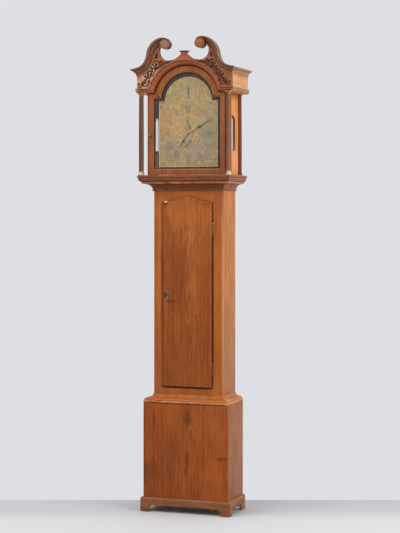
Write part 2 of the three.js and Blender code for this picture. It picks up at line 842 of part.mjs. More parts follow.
function hoodSide() {
  const inner = hoodSideHalf - hoodSideBoard;
  const top = corniceTop - 12;
  const board = slab(inner, hoodSideHalf, 0, hoodSideDepth, hoodFloor, top);
  const light = sideways(windowOutline(0), inner - 1, hoodSideHalf + 1, 10);
  const rebate = sideways(windowOutline(windowRebate), inner - 1, inner + paneThickness + 2 * gap, 10);
  const profile = columnProfile(hoodFloor, entablatureBottom, columnRadius);
  const column = turned(profile, rearColumnX, rearColumnDepth + columnCapRadius - columnRadius, 12);
  const cap = columnCapRadius;
  const room = slab(inner - 2 * cap, inner, 0, 4 * cap, hoodFloor - 1, entablatureBottom + 1);
  return cut(join(board, column), light, rebate, room);
}

function hoodSides() {
  const right = hoodSide();
  piece('hood_side_right', right, sideOak());
  piece('hood_side_left', mirrorX(right), sideOak());
  const inner = hoodSideHalf - hoodSideBoard + gap;
  const pane = sideways(windowOutline(windowRebate - gap), inner, inner + paneThickness, 10);
  piece('side_glass_right', pane, windowGlass());
  piece('side_glass_left', mirrorX(pane), windowGlass());
}

function frontColumns() {
  const profile = columnProfile(hoodFloor, entablatureBottom, columnRadius);
  piece('front_column_left', turned(profile, -columnX, columnDepth), darkOak());
  piece('front_column_right', turned(profile, columnX, columnDepth), darkOak());
}

// Hood door with an arched top, glazed, hung on pins in brass straps
const hoodPinX = hoodDoorHalf - hoodPinInset;
const hoodPinDepth = hoodDoorFront - hoodPinInset;
const hoodDoorBottom = hoodFloor + 2 * gap;
const hoodDoorShoulder = entablatureBottom - 2 * gap;

function archedOutline(half, bottom, shoulder, arch, kind = THREE.Shape) {
  const rise = shoulder - archCentre;
  const spring = Math.asin(rise / arch);
  const shape = new kind();
  shape.moveTo(-half, bottom);
  shape.lineTo(half, bottom);
  shape.lineTo(half, shoulder);
  shape.absarc(0, archCentre, arch, spring, Math.PI - spring, false);
  shape.lineTo(-half, shoulder);
  shape.closePath();
  return shape;
}

const glassHalf = hoodDoorHalf - hoodDoorStile;
const glassBottom = hoodDoorBottom + hoodDoorStile;
const glassShoulder = hoodDoorShoulder - hoodDoorShoulderRail;
const glassArch = hoodDoorArch - hoodDoorStile;
const glassRebate = 6;

function hoodDoor() {
  const frame = archedOutline(hoodDoorHalf, hoodDoorBottom, hoodDoorShoulder, hoodDoorArch);
  frame.holes.push(archedOutline(glassHalf, glassBottom, glassShoulder, glassArch, THREE.Path));
  const r = glassRebate;
  const seat = archedOutline(glassHalf + r, glassBottom - r, glassShoulder + r, glassArch + r);
  const rebate = frontal(seat, hoodDoorRear - 1, hoodDoorRear + paneThickness + 2, 12);
  const strap = hoodStrapThickness + gap;
  const x0 = hoodDoorHalf - hoodStrapLength - gap;
  const d0 = hoodPinDepth - hoodStrapReach - gap;
  const [x1, d1] = [hoodDoorHalf + 1, hoodDoorFront + 1];
  const low = slab(x0, x1, d0, d1, hoodDoorBottom - 1, hoodDoorBottom + strap);
  const high = slab(x0, x1, d0, d1, hoodDoorShoulder - strap, hoodDoorShoulder + 1);
  const knobHole = arbor(knobX, knobZ, knobSpindle + gap, hoodDoorRear - 1, hoodDoorFront + 1, 8);
  const board = frontal(frame, hoodDoorRear, hoodDoorFront, 12);
  piece('hood_door', cut(board, rebate, low, high, knobHole), oak());
}

function hoodDoorGlass() {
  const r = glassRebate - gap;
  const pane = archedOutline(glassHalf + r, glassBottom - r, glassShoulder + r, glassArch + r);
  const front = hoodDoorRear + paneThickness + 2 - gap;
  piece('hood_door_glass', frontal(pane, front - paneThickness, front, 12), windowGlass());
}

function hoodStraps() {
  const x0 = hoodDoorHalf - hoodStrapLength;
  const d0 = hoodPinDepth - hoodStrapReach;
  const t = hoodStrapThickness;
  const lowPlate = slab(x0, hoodDoorHalf, d0, hoodDoorFront, hoodDoorBottom, hoodDoorBottom + t);
  const [x, d, r] = [hoodPinX, hoodPinDepth, hoodPinRadius];
  const lowPin = post(x, d, r, hoodDoorBottom - hoodPinHeight, hoodDoorBottom + t, 10);
  piece('hood_hinge_lower', join(lowPlate, lowPin), brass());
  const highPlate = slab(x0, hoodDoorHalf, d0, hoodDoorFront, hoodDoorShoulder - t, hoodDoorShoulder);
  const highPin = post(x, d, r, hoodDoorShoulder - t, hoodDoorShoulder + hoodPinHeight, 10);
  piece('hood_hinge_upper', join(highPlate, highPin), brass());
}

// Turned knob on a spindle through the stile
function hoodKnob() {
  const front = hoodDoorFront + gap;
  const profile = [
    [0, front],
    [5, front],
    [4, front + 3],
    [2.6, front + 5],
    [5, front + 7],
    [knobRadius, front + 11],
    [5.5, front + 15],
    [0, front + 17],
  ];
  const knob = turnedAcross(profile, knobX, knobZ, 14);
  const spindle = arbor(knobX, knobZ, knobSpindle, hoodDoorRear + 1, front + 4, 8);
  piece('hood_door_knob', join(knob, spindle), brass());
}

// A point of the arch at a distance out from its inner edge, counted round from the right spring
const archSteps = 18;

function archPoint(out, step) {
  const radius = archMouldingInner + out;
  const start = Math.asin((entablatureBottom + out - archCentre) / radius);
  const angle = start + ((Math.PI - 2 * start) * step) / archSteps;
  return [radius * Math.cos(angle), archCentre + radius * Math.sin(angle)];
}

// Architrave that runs in from each front corner and rises over the door as an archivolt.
// The profile gives the distance out from the opening, and the depth.
function archMoulding() {
  const rear = archMouldingRear;
  const soffit = friezeFront - archMouldingHollow;
  const w = architraveHeight;
  const profile = [
    [0, rear],
    [0, soffit],
    ...quarter([0, soffit], [0.8 * w, friezeFront + 1], true, 4),
    [0.9 * w, friezeFront + architraveFrontReach - 1.5],
    [w, friezeFront + architraveFrontReach],
    [w, rear],
  ];
  const rings = [];
  const tip = friezeHalf + architraveReach;
  const end = (sx) => profile.map(([out, depth]) => [sx * tip, wall - depth, entablatureBottom + out]);
  const corner = (sx) => profile.map(([out, depth]) => {
    const [x, z] = archPoint(out, 0);
    return [sx * x, wall - depth, z];
  });
  rings.push(end(-1), corner(-1));
  for (let i = 1; i < archSteps; i += 1) {
    rings.push(profile.map(([out, depth]) => {
      const [x, z] = archPoint(out, archSteps - i);
      return [x, wall - depth, z];
    }));
  }
  rings.push(corner(1), end(1));
  const moulding = loft(rings, profile);
  const holeTop = hoodDoorShoulder + hoodPinHeight + gap;
  const pinHole = post(hoodPinX, hoodPinDepth, hoodPinRadius + gap, entablatureBottom - 1, holeTop, 10);
  piece('arch_moulding', cut(moulding, pinHole, architraveMitre(-1), architraveMitre(1)), darkOak());
}

// What is cut off each end, square behind the frieze's face and mitred in front of it
function architraveMitre(sx) {
  const h = friezeHalf - gap;
  const past = architraveReach + 2;
  const front = friezeFront + (past * architraveFrontReach) / architraveReach;
  const rear = archMouldingRear - 1;
  const points = [[h, rear], [h, friezeFront], [h + past, front], [h + past, rear]];
  return upright(points.map(([x, d]) => [sx * x, d]), entablatureBottom - 1, architraveTop + 1);
}

// Side of the entablature: architrave, frieze and cornice on a solid block over the columns
function entablatureSide() {
  const inner = hoodSideHalf + gap;
  const behind = friezeFront - scrollBoard;
  const block = slab(inner, friezeHalf, 0, behind, entablatureBottom, corniceTop);
  const mitred = (profile, frontShare) => {
    const back = profile.map(([x, z]) => [x, wall, z]);
    const front = profile.map(([x, z]) => [x, wall - (friezeFront + (x - friezeHalf) * frontShare), z]);
    return loft([back, front], profile);
  };
  const architraveLean = architraveFrontReach / architraveReach;
  const corniceLean = corniceFrontReach / corniceReach;
  const architraveTip = friezeHalf + architraveReach;
  const architrave = [
    [friezeHalf - 5, entablatureBottom],
    [friezeHalf, entablatureBottom],
    ...quarter([friezeHalf, entablatureBottom], [architraveTip - 2, architraveTop - 7], true, 4),
    [architraveTip, architraveTop - 6],
    [architraveTip, architraveTop - 2],
    [friezeHalf, architraveTop],
    [friezeHalf - 5, architraveTop],
  ];
  const corniceTip = friezeHalf + corniceReach;
  const cornice = [
    [friezeHalf - 5, corniceBottom],
    [friezeHalf, corniceBottom],
    [friezeHalf + 3, corniceBottom + 2],
    ...quarter([friezeHalf + 3, corniceBottom + 4], [corniceTip - 3, corniceTop - 8], false, 5),
    [corniceTip, corniceTop - 7],
    [corniceTip, corniceTop],
    [friezeHalf - 5, corniceTop],
  ];
  const ends = friezeHalf + gap;
  const board = slab(inner - 1, ends, behind, totalDepth + 1, entablatureBottom - 1, corniceTop + 1);
  const moulding = slab(inner - 1, ends, archMouldingRear, totalDepth, entablatureBottom - 1, architraveTop);
  return cut(join(block, mitred(architrave, architraveLean), mitred(cornice, corniceLean)), board, moulding);
}

function entablatures() {
  const right = entablatureSide();
  piece('entablature_right', right, sideOak());
  piece('entablature_left', mirrorX(right), sideOak());
}

// Swan-neck curves of the right half. A point says its place across, from the neck's top (0) out to
// the frieze's corner (1), and its share of the rise to the neck's top.
function neckPoint(across, rise, bottom) {
  return [neckTopX + across * (friezeHalf - neckTopX), bottom + rise * (neckTop - bottom)];
}

function smooth(points) {
  return new THREE.CatmullRomCurve3(points.map(([x, z]) => new THREE.Vector3(x, 0, z)), false, 'centripetal');
}

const neckRise = [
  [0.912, 0.047],
  [0.759, 0.121],
  [0.646, 0.232],
  [0.58, 0.389],
  [0.545, 0.55],
  [0.478, 0.701],
  [0.358, 0.842],
  [0.182, 0.956],
];

// The outer edge runs from the cornice tip up over the scroll.
function neckOuter(tip) {
  return smooth([
    [friezeHalf + tip, corniceTop],
    ...neckRise.map(([across, rise]) => neckPoint(across, rise, corniceTop)),
    [neckTopX, neckTop],
    [rosetteX - 0.16 * rosetteRadius, neckTop - 2],
    [rosetteX - 0.72 * rosetteRadius, neckTop - 10],
  ]);
}

const neckHollow = [
  [0.861, 0.017],
  [0.708, 0.061],
  [0.584, 0.11],
  [0.453, 0.242],
  [0.343, 0.397],
  [0.292, 0.551],
  [0.219, 0.65],
  [0.131, 0.727],
];

// The lower edge of the neck's moulding, level by level with the outer edge
function neckInner() {
  return smooth([
    [friezeHalf, corniceBottom - 1],
    ...neckHollow.map(([across, rise]) => neckPoint(across, rise, corniceBottom)),
    [rosetteX + 1.04 * rosetteRadius, rosetteZ + 2],
    [rosetteX + 0.56 * rosetteRadius, rosetteZ + 8],
    [rosetteX + 0.16 * rosetteRadius, rosetteZ + 12],
  ]);
}

// A neck's section runs from the inner edge (0) to the outer edge (1), with its depth
function neckSection() {
  const face = friezeFront;
  const tip = totalDepth;
  return [
    [0, face],
    [0, face + 5],
    [0.1, face + 7],
    [0.16, face + 4],
    ...quarter([0.16, face + 4], [0.84, tip - 6], true, 4),
    [0.84, tip - 3],
    [1, tip],
    [1, face],
  ];
}

function swanNeck() {
  const outer = neckOuter(corniceReach);
  const inner = neckInner();
  const section = neckSection();
  const rings = [];
  const steps = 17;
  for (let i = 0; i <= steps; i += 1) {
    const o = outer.getPoint(i / steps);
    const n = inner.getPoint(i / steps);
    rings.push(section.map(([share, depth]) => {
      const mitre = friezeHalf - gap + ((depth - friezeFront) * corniceReach) / corniceFrontReach;
      const x = i ? n.x + (o.x - n.x) * share : mitre;
      return [x, wall - depth, n.z + (o.z - n.z) * share];
    }));
  }
  const rosette = turnedAcross([
    [0, friezeFront],
    [rosetteRadius, friezeFront],
    [rosetteRadius, totalDepth - 4],
    [rosetteRadius - 4, totalDepth],
    [0, totalDepth],
  ], rosetteX, rosetteZ, 20);
  return join(loft(rings, section), rosette);
}

function swanNecks() {
  const right = swanNeck();
  piece('swan_neck_right', right, darkOak());
  piece('swan_neck_left', mirrorX(right), darkOak());
}

// Board behind the pediment: its upper edge follows the necks, dips, and rises to the plinth
function scrollBoardOutline() {
  const b = boardBehindNeck;
  const outer = smooth([
    [friezeHalf, corniceTop - b],
    ...neckRise.map(([across, rise]) => neckPoint(across, rise, corniceTop)).map(([x, z]) => [x - b, z - b]),
    [neckTopX, neckTop - b],
    [rosetteX - 0.16 * rosetteRadius, neckTop - 2 - b],
    [rosetteX - rosetteRadius + 1, rosetteZ + 4],
  ]);
  const dipPoint = (across, rise) => [
    plinthHalf + across * (dipX - plinthHalf),
    dipZ + rise * (plinthShoulder - dipZ),
  ];
  const inner = smooth([
    [rosetteX + rosetteRadius + 2, rosetteZ - 3],
    neckPoint(0.131, 0.664, corniceTop),
    neckPoint(0.142, 0.557, corniceTop),
    neckPoint(0.102, 0.423, corniceTop),
    dipPoint(1.4, 0.25),
    dipPoint(1.06, 0),
    dipPoint(0.69, 0.11),
    dipPoint(0.38, 0.36),
    dipPoint(0.17, 0.75),
    [plinthHalf + 2, plinthShoulder],
    [plinthHalf, plinthTop],
  ]);
  const right = [
    [friezeHalf, architraveTop + gap],
    ...outer.getPoints(22).map((p) => [p.x, p.z]),
  ];
  for (let i = 1; i < 6; i += 1) {
    const angle = Math.PI + (i / 6) * 0.98 * Math.PI;
    const r = rosetteRadius - 1;
    right.push([rosetteX + r * Math.cos(angle), rosetteZ + r * Math.sin(angle)]);
  }
  right.push(...inner.getPoints(18).map((p) => [p.x, p.z]));
  const left = right.map(([x, z]) => [-x, z]).reverse();
  const arch = [];
  for (let i = archSteps; i >= 0; i -= 1) arch.push(archPoint(architraveHeight + gap, i));
  return outline([...right, ...left, ...arch]);
}

function scrollBoardPiece() {
  const board = frontal(scrollBoardOutline(), friezeFront - scrollBoard, friezeFront);
  const z = plinthTop;
  const half = plinthCapHalf;
  const capRear = friezeFront - scrollBoard - 4;
  const cap = slab(-half, half, capRear, friezeFront + 8, z - 0.5, z + plinthCapThickness);
  piece('scroll_board', join(board, cap), darkOak());
}

// Roof: a thin board bent over the door's arch, with flats out to the hood sides
function roof() {
  const inner = hoodDoorArch + roofOverDoor;
  const outer = inner + roofBoard;
  const flat = archCentre + roofFlatAbove;
  const half = hoodSideHalf - hoodSideBoard - gap;
  const inAngle = Math.asin((flat - archCentre) / inner);
  const outAngle = Math.asin((flat + roofBoard - archCentre) / outer);
  const shape = new THREE.Shape();
  shape.moveTo(half, flat);
  shape.lineTo(half, flat + roofBoard);
  shape.absarc(0, archCentre, outer, outAngle, Math.PI - outAngle, false);
  shape.lineTo(-half, flat + roofBoard);
  shape.lineTo(-half, flat);
  shape.absarc(0, archCentre, inner, Math.PI - inAngle, inAngle, true);
  shape.closePath();
  piece('hood_roof', frontal(shape, backboardThickness + gap, archMouldingRear - gap, 10), pine());
}

// Seatboard, with holes for the lines and a hole under each fixed end
// Both lines leave the left side of their drums, as each weight must pull its drum anticlockwise.
function seatboard() {
  const board = slab(-seatHalf, seatHalf, seatRear, seatFront, seatBottom, seatTop);
  const holes = [];
  for (const sx of [-1, 1]) {
    holes.push(post(sx * windingX - drumRadius, weightDepth, lineHole, seatBottom - 1, seatTop + 1, 8));
  }
  piece('seatboard', cut(board, ...holes), pine());
}

// Movement plates
const pillars = [
  [-plateHalf + pillarInset, plateBottom + pillarInset],
  [plateHalf - pillarInset, plateBottom + pillarInset],
  [-plateHalf + pillarInset, plateTop - pillarInset],
  [plateHalf - pillarInset, plateTop - pillarInset],
];

const thirdDistance = centreWheelRadius + smallPinionRadius + gap; // centre arbor to third arbor
const fourthDistance = thirdWheelRadius + smallPinionRadius + gap; // third arbor to escape arbor
const thirdAbove = (secondsAbove ** 2 + thirdDistance ** 2 - fourthDistance ** 2) / (2 * secondsAbove);
const thirdX = Math.sqrt(thirdDistance ** 2 - thirdAbove ** 2);
const thirdZ = dialCentre + thirdAbove;

function pivotHoles(d0, d1) {
  const through = (x, z, radius) => arbor(x, z, radius + gap, d0 - 1, d1 + 1, 10);
  return [
    through(-windingX, windingZ, barrelArborRadius),
    through(windingX, windingZ, barrelArborRadius),
    through(0, dialCentre, centreArborRadius),
    through(thirdX, thirdZ, arborRadius),
    through(0, escapeZ, arborRadius),
    through(0, palletZ, arborRadius),
    through(hammerX, hammerZ, arborRadius),
  ];
}

function backPlate() {
  const plate = slab(-plateHalf, plateHalf, backPlateDepth, backPlateFront, plateBottom, plateTop);
  const posts = pillars.map(([x, z]) => arbor(x, z, pillarRadius, backPlateFront - 1, frontPlateRear, 12));
  const bellTop = bellMouth + bellHeight + gap;
  const stem = slab(-6, 6, backPlateDepth, backPlateFront, plateTop - 2, bellTop + 3.5);
  const arm = slab(-6, 6, backPlateFront - 1, bellDepth + 6, bellTop, bellTop + 3.5);
  const pierced = cut(join(plate, stem, arm), ...pivotHoles(backPlateDepth, backPlateFront));
  piece('back_plate', join(pierced, ...posts, pendulumCock()), brass());
}

// Cock behind the back plate: a bridge for the pallet arbor and a slotted lug for the pendulum
const cockRear = pendulumDepth + cockOff;
const cockTop = palletZ + cockRise;

function pendulumCock() {
  const half = cockHalf;
  const front = cockRear + cockThickness;
  const bottom = palletZ - cockBelow;
  const bridge = slab(-half, half, cockRear, front, bottom, cockTop);
  const legLeft = slab(-half, cockLeg - half, cockRear + 1, backPlateDepth + 1, bottom, cockTop);
  const legRight = slab(half - cockLeg, half, cockRear + 1, backPlateDepth + 1, bottom, cockTop);
  const lug = slab(-half / 2, half / 2, pendulumDepth - cockOff, cockRear + 1, cockTop - cockLug, cockTop);
  const s = springSlot / 2;
  const slot = slab(-s, s, pendulumDepth - cockOff - 1, cockRear - 2, cockTop - cockLug - 1, cockTop + 1);
  const pivot = arbor(0, palletZ, arborRadius + gap, cockRear - 1, front + 1, 12);
  return cut(join(bridge, legLeft, legRight, lug), slot, pivot);
}

function frontPlate() {
  const plate = slab(-plateHalf, plateHalf, frontPlateRear, frontPlateFront, plateBottom, plateTop);
  piece('front_plate', cut(plate, ...pivotHoles(frontPlateRear, frontPlateFront)), brass());
}

// Toothed wheels and pinions on their arbors
function toothed(x, z, teeth, tip, tooth, d0, d1) {
  const points = [];
  for (let i = 0; i < 2 * teeth; i += 1) {
    const angle = (i / teeth) * Math.PI;
    const radius = i % 2 ? tip - tooth : tip;
    points.push([x + radius * Math.cos(angle), z + radius * Math.sin(angle)]);
  }
  return frontal(outline(points), d0, d1);
}

function wheelOn(x, z, teeth, tip, tooth, depth) {
  return toothed(x, z, teeth, tip, tooth, depth, depth + wheelThickness);
}

// A pinion stands across the wheel that it meshes with, two millimetres proud behind it.
function pinion(x, z, leaves, tip, tooth, wheelDepth) {
  return toothed(x, z, leaves, tip, tooth, wheelDepth - 2, wheelDepth - 2 + pinionLength);
}

const pivotEnd = backPlateDepth + gap;
const frontPivotEnd = frontPlateFront - gap;
const strikeWheelDepth = backPlateFront + wheelRoom;
const goingWheelDepth = drumFront + wheelRoom;

function barrel(name, sx, wheelDepth) {
  const x = sx * windingX;
  const profile = [
    [0, drumRear],
    [drumFlange, drumRear],
    [drumFlange, drumRear + flangeThickness],
    [drumRadius - lineRadius, drumRear + flangeThickness],
    [drumRadius - lineRadius, drumFront - flangeThickness],
    [drumFlange, drumFront - flangeThickness],
    [drumFlange, drumFront],
    [0, drumFront],
  ];
  const drum = turnedAcross(profile, x, windingZ, 18);
  const wheelFront = wheelDepth + greatWheelThickness;
  const wheel = toothed(x, windingZ, greatTeeth, greatWheelRadius, toothHeight, wheelDepth, wheelFront);
  const half = windingSquare / 2;
  const squareRear = dialFront - 1 - windingSquareLength;
  const shaft = arbor(x, windingZ, barrelArborRadius, pivotEnd, squareRear + 1, 12);
  const square = slab(x - half, x + half, squareRear, dialFront - 1, windingZ - half, windingZ + half);
  piece(name, join(drum, wheel, shaft, square), brass());
}

function centreWheel() {
  const shaft = arbor(0, dialCentre, centreArborRadius, pivotEnd, minuteHandFront + 1.6, 12);
  const wheel = wheelOn(0, dialCentre, centreTeeth, centreWheelRadius, toothHeight, centreWheelDepth);
  const leaves = pinion(0, dialCentre, centreLeaves, centrePinionRadius, pinionTooth, goingWheelDepth);
  piece('centre_wheel', join(shaft, wheel, leaves), brass());
}

function thirdWheel() {
  const shaft = arbor(thirdX, thirdZ, arborRadius, pivotEnd, frontPivotEnd, 10);
  const wheel = wheelOn(thirdX, thirdZ, thirdTeeth, thirdWheelRadius, toothHeight, thirdWheelDepth);
  const leaves = pinion(thirdX, thirdZ, thirdLeaves, smallPinionRadius, smallPinionTooth, centreWheelDepth);
  piece('third_wheel', join(shaft, wheel, leaves), brass());
}

function escapeWheel() {
  const shaft = arbor(0, escapeZ, arborRadius - 0.3, pivotEnd, dialFront + 2.6, 10);
  const wheel = wheelOn(0, escapeZ, escapeTeeth, escapeWheelRadius, escapeToothHeight, escapeWheelDepth);
  const leaves = pinion(0, escapeZ, escapeLeaves, smallPinionRadius, smallPinionTooth, thirdWheelDepth);
  piece('escape_wheel', join(shaft, wheel, leaves), brass());
}

// Anchor with its arbor, and the crutch that reaches down to the pendulum rod
function anchor() {
  const shape = outline([
    [-3, palletZ + 5],
    [3, palletZ + 5],
    [16, palletZ - 6],
    [19.5, palletZ - 15],
    [17, palletZ - 16.5],
    [12, palletZ - 8],
    [3, palletZ - 5],
    [-3, palletZ - 5],
    [-12, palletZ - 8],
    [-17, palletZ - 16.5],
    [-19.5, palletZ - 15],
    [-16, palletZ - 6],
  ]);
  const arms = frontal(shape, escapeWheelDepth - 1, escapeWheelDepth + wheelThickness + 1);
  const shaft = arbor(0, palletZ, arborRadius, cockRear + gap, frontPivotEnd, 10);
  const bottom = seatTop + crutchAbove;
  const top = bottom + crutchBar;
  const rear = cockRear + crutchOff;
  const front = rear + crutchThickness;
  const half = crutchHalf;
  const stem = slab(-2, 2, rear, front, bottom, palletZ);
  const bar = slab(-half, half, rear, front, bottom, top);
  const left = slab(-half, crutchTine - half, pendulumDepth - 4, rear + 1, bottom, top);
  const right = slab(half - crutchTine, half, pendulumDepth - 4, rear + 1, bottom, top);
  piece('anchor', join(arms, shaft, stem, bar, left, right), steel());
}

// Pendulum: suspension block and spring, rod and rating nut, and the bob on the rod
function pendulumRod() {
  const blockBottom = cockTop + springBlockLift;
  const d = pendulumDepth;
  const b = springBlock / 2;
  const block = slab(-b, b, d - b, d + b, blockBottom, blockBottom + springBlockHeight);
  const t = springThickness / 2;
  const spring = slab(-t, t, d - springHalf, d + springHalf, palletZ - springLength, blockBottom + 1);
  const rodTop = palletZ - springLength + 6;
  const nutTop = bobZ - bobRadius - gap;
  const rod = post(0, d, rodRadius, nutTop - threadBelow, rodTop, 10);
  const nut = post(0, d, ratingNutRadius, nutTop - ratingNutHeight, nutTop, 14);
  piece('pendulum_rod', join(block, spring, rod, nut), steel());
}

function pendulumBob() {
  const d = pendulumDepth;
  const edge = 2;
  const r = bobRadius;
  const h = bobThickness / 2;
  const profile = [
    [0, d - h],
    [r * 0.5, d - h * 0.85],
    [r * 0.8, d - h * 0.5],
    [r, d - edge],
    [r, d + edge],
    [r * 0.8, d + h * 0.5],
    [r * 0.5, d + h * 0.85],
    [0, d + h],
  ];
  const bob = turnedAcross(profile, 0, bobZ, 22);
  const bore = post(0, d, rodRadius + gap, bobZ - r - 1, bobZ + r + 1, 10);
  piece('pendulum_bob', cut(bob, bore), brass());
}

// Bell and hammer
function bell() {
  const r = bellRadius;
  const top = bellMouth + bellHeight;
  const w = bellWall;
  const profile = [
    [0, top - w],
    [r * 0.35 - w, top - 1 - w],
    [r * 0.7 - w, top - 6 - w],
    [r * 0.9 - w, top - 14 - w],
    [r - w, bellMouth],
    [r, bellMouth],
    [r * 0.9, top - 14],
    [r * 0.7, top - 6],
    [r * 0.35, top - 1],
    [0, top],
  ];
  piece('bell', turned(profile, 0, bellDepth, 16), brass());
}

function hammer() {
  const headZ = bellMouth + hammerAboveMouth;
  const headRight = -bellRadius - hammerFromBell;
  const shaft = arbor(hammerX, hammerZ, arborRadius, pivotEnd, frontPivotEnd, 10);
  const stem = slab(hammerX - 2, hammerX + 2, bellDepth - 2, bellDepth + 2, hammerZ, headZ);
  const head = new THREE.CylinderGeometry(hammerHeadRadius, hammerHeadRadius, hammerHeadLength, 12);
  head.rotateZ(Math.PI / 2).translate(headRight - hammerHeadLength / 2, wall - bellDepth, headZ);
  piece('bell_hammer', join(shaft, stem, head), steel());
}

// Dial plate with its feet, pierced for the hands and the winding squares
const dialFootX = plateHalf - 8;
const dialFeet = [
  [-dialFootX, plateBottom + 20],
  [dialFootX, plateBottom + 20],
  [-dialFootX, plateTop - 20],
  [dialFootX, plateTop - 20],
];

function dialPlate() {
  const half = dialWidth / 2;
  const spring = Math.asin((dialShoulder - dialArchCentre) / dialArch);
  const plate = new THREE.Shape();
  plate.moveTo(-half, dialBottom);
  plate.lineTo(half, dialBottom);
  plate.lineTo(half, dialShoulder);
  plate.absarc(0, dialArchCentre, dialArch, spring, Math.PI - spring, false);
  plate.lineTo(-half, dialShoulder);
  plate.closePath();
  plate.holes.push(
    circle(0, dialCentre, hourPipeRadius + gap),
    circle(-windingX, windingZ, windingHole),
    circle(windingX, windingZ, windingHole),
    circle(0, escapeZ, arborRadius + gap),
    circle(0, dialCentre - dateBelow, arborRadius + gap),
    circle(0, strikeSelectorZ, arborRadius + gap),
  );
  const feet = dialFeet.map(([x, z]) => arbor(x, z, 4, frontPlateFront, dialRear + 1, 10));
  piece('dial_plate', join(frontal(plate, dialRear, dialFront, 8), ...feet), dialBrass());
}

// Hands. Each is drawn pointing up at its own length, then turned clockwise to its reading.
const hourHandRear = dialFront + hourHandOff;
const minuteHandRear = dialFront + minuteHandOff;
const minuteHandFront = minuteHandRear + handThickness;

function mirroredOutline(right, tip) {
  const left = right.map(([x, y]) => [-x, y]).reverse();
  return [...right, [0, tip], ...left];
}

function handOutline(length, width, tail) {
  const w = width / 2;
  const right = [
    [w * 0.5, -tail],
    [w * 0.7, length * 0.35],
    [w * 1.6, length * 0.5],
    [w * 0.6, length * 0.64],
    [w * 0.9, length * 0.76],
  ];
  return mirroredOutline(right, length);
}

function hand(points, degrees, z, d0, d1) {
  const angle = THREE.MathUtils.degToRad(degrees);
  const [s, c] = [Math.sin(angle), Math.cos(angle)];
  const turnedPoints = points.map(([x, y]) => [x * c + y * s, z + y * c - x * s]);
  return frontal(outline(turnedPoints), d0, d1);
}

function hourHand() {
  const pipeFront = minuteHandRear - gap;
  const pipe = arbor(0, dialCentre, hourPipeRadius, frontPlateFront + gap, pipeFront, 14);
  const rear = frontPlateFront + wheelRoom;
  const front = rear + hourWheelThickness;
  const wheel = toothed(0, dialCentre, hourTeeth, hourWheelRadius, hourToothHeight, rear, front);
  const points = handOutline(hourHandLength, 9, 4);
  const pointer = hand(points, 215, dialCentre, hourHandRear, hourHandRear + handThickness);
  const bore = arbor(0, dialCentre, centreArborRadius + gap, frontPlateFront, pipeFront + 1, 12);
  piece('hour_hand', cut(join(pipe, wheel, pointer), bore), steel());
}

function minuteHand() {
  const boss = arbor(0, dialCentre, handBossRadius, minuteHandRear, minuteHandFront, 14);
  const pointer = hand(handOutline(minuteHandLength, 7, 6), 60, dialCentre, minuteHandRear, minuteHandFront);
  const bore = arbor(0, dialCentre, centreArborRadius + gap, minuteHandRear - 1, minuteHandFront + 1, 12);
  piece('minute_hand', cut(join(boss, pointer), bore), steel());
}

function smallHand(name, z, points, degrees, rear, shaftRear) {
  const front = rear + smallHandThickness;
  const boss = arbor(0, z, smallBossRadius, rear, front, 12);
  const pointer = hand(points, degrees, z, rear, front);
  const stem = arbor(0, z, arborRadius, shaftRear, front, 10);
  piece(name, join(boss, pointer, stem), steel());
}

function smallHands() {
  const rear = dialFront + gap;
  const front = rear + smallHandThickness;
  const seconds = mirroredOutline([[0.6, -19], [1.6, -12], [0.6, -6], [0.7, 20]], 36);
  const boss = arbor(0, escapeZ, smallBossRadius, rear, front, 12);
  const pointer = hand(seconds, 155, escapeZ, rear, front);
  const bore = arbor(0, escapeZ, arborRadius, rear - 1, front + 1, 10);
  piece('seconds_hand', cut(join(boss, pointer), bore), steel());

  const date = mirroredOutline([[1, -24], [2.4, -14], [0.9, -5], [0.9, 6], [2.6, 15]], 24);
  smallHand('date_hand', dialCentre - dateBelow, date, 219, rear, dialRear - 2);
  const selector = mirroredOutline([[1.8, -27], [1.1, 0], [1.4, 14]], 28);
  smallHand('strike_selector_hand', strikeSelectorZ, selector, 0, rear, dialRear - 2);
}

// Weights: an iron cylinder with its hook, stirrup and pulley
const pulleyZ = weightBottom + weightHeight + hookHeight;
const weightShift = pulleyRadius - drumRadius; // from the drum's centre to the weight's

function weight(name, sx) {
  const x = sx * windingX + weightShift;
  const r = weightRadius;
  const top = weightBottom + weightHeight;
  const body = turned([
    [0, weightBottom],
    [r - 3, weightBottom],
    [r, weightBottom + 3],
    [r, top - 6],
    [r - 8, top],
    [0, top],
  ], x, weightDepth, 16);
  const d = weightDepth;
  const yokeTop = pulleyZ - yokeBelow;
  const yokeBottom = yokeTop - yokeThickness;
  const inside = yokeOut - yokeCheek;
  const h = yokeHalf;
  const hook = post(x, d, hookRadius, top - 1, yokeTop, 10);
  const yoke = slab(x - h, x + h, d - yokeOut, d + yokeOut, yokeBottom, yokeTop);
  const cheekRear = slab(x - h, x + h, d - yokeOut, d - inside, yokeBottom + 1, pulleyZ + yokeAbove);
  const cheekFront = slab(x - h, x + h, d + inside, d + yokeOut, yokeBottom + 1, pulleyZ + yokeAbove);
  const axle = arbor(x, pulleyZ, hookRadius, d - yokeOut + 1, d + yokeOut - 1, 10);
  const groove = pulleyRadius - lineRadius - gap;
  const rim = pulleyRadius + pulleyRim;
  const inner = pulleyHalf - pulleyRimThickness;
  const pulley = turnedAcross([
    [0, d - pulleyHalf],
    [rim, d - pulleyHalf],
    [rim, d - inner],
    [groove, d - grooveHalf],
    [groove, d + grooveHalf],
    [rim, d + inner],
    [rim, d + pulleyHalf],
    [0, d + pulleyHalf],
  ], x, pulleyZ, 18);
  piece(name, join(body, hook, yoke, cheekRear, cheekFront, axle, pulley), castIron());
}

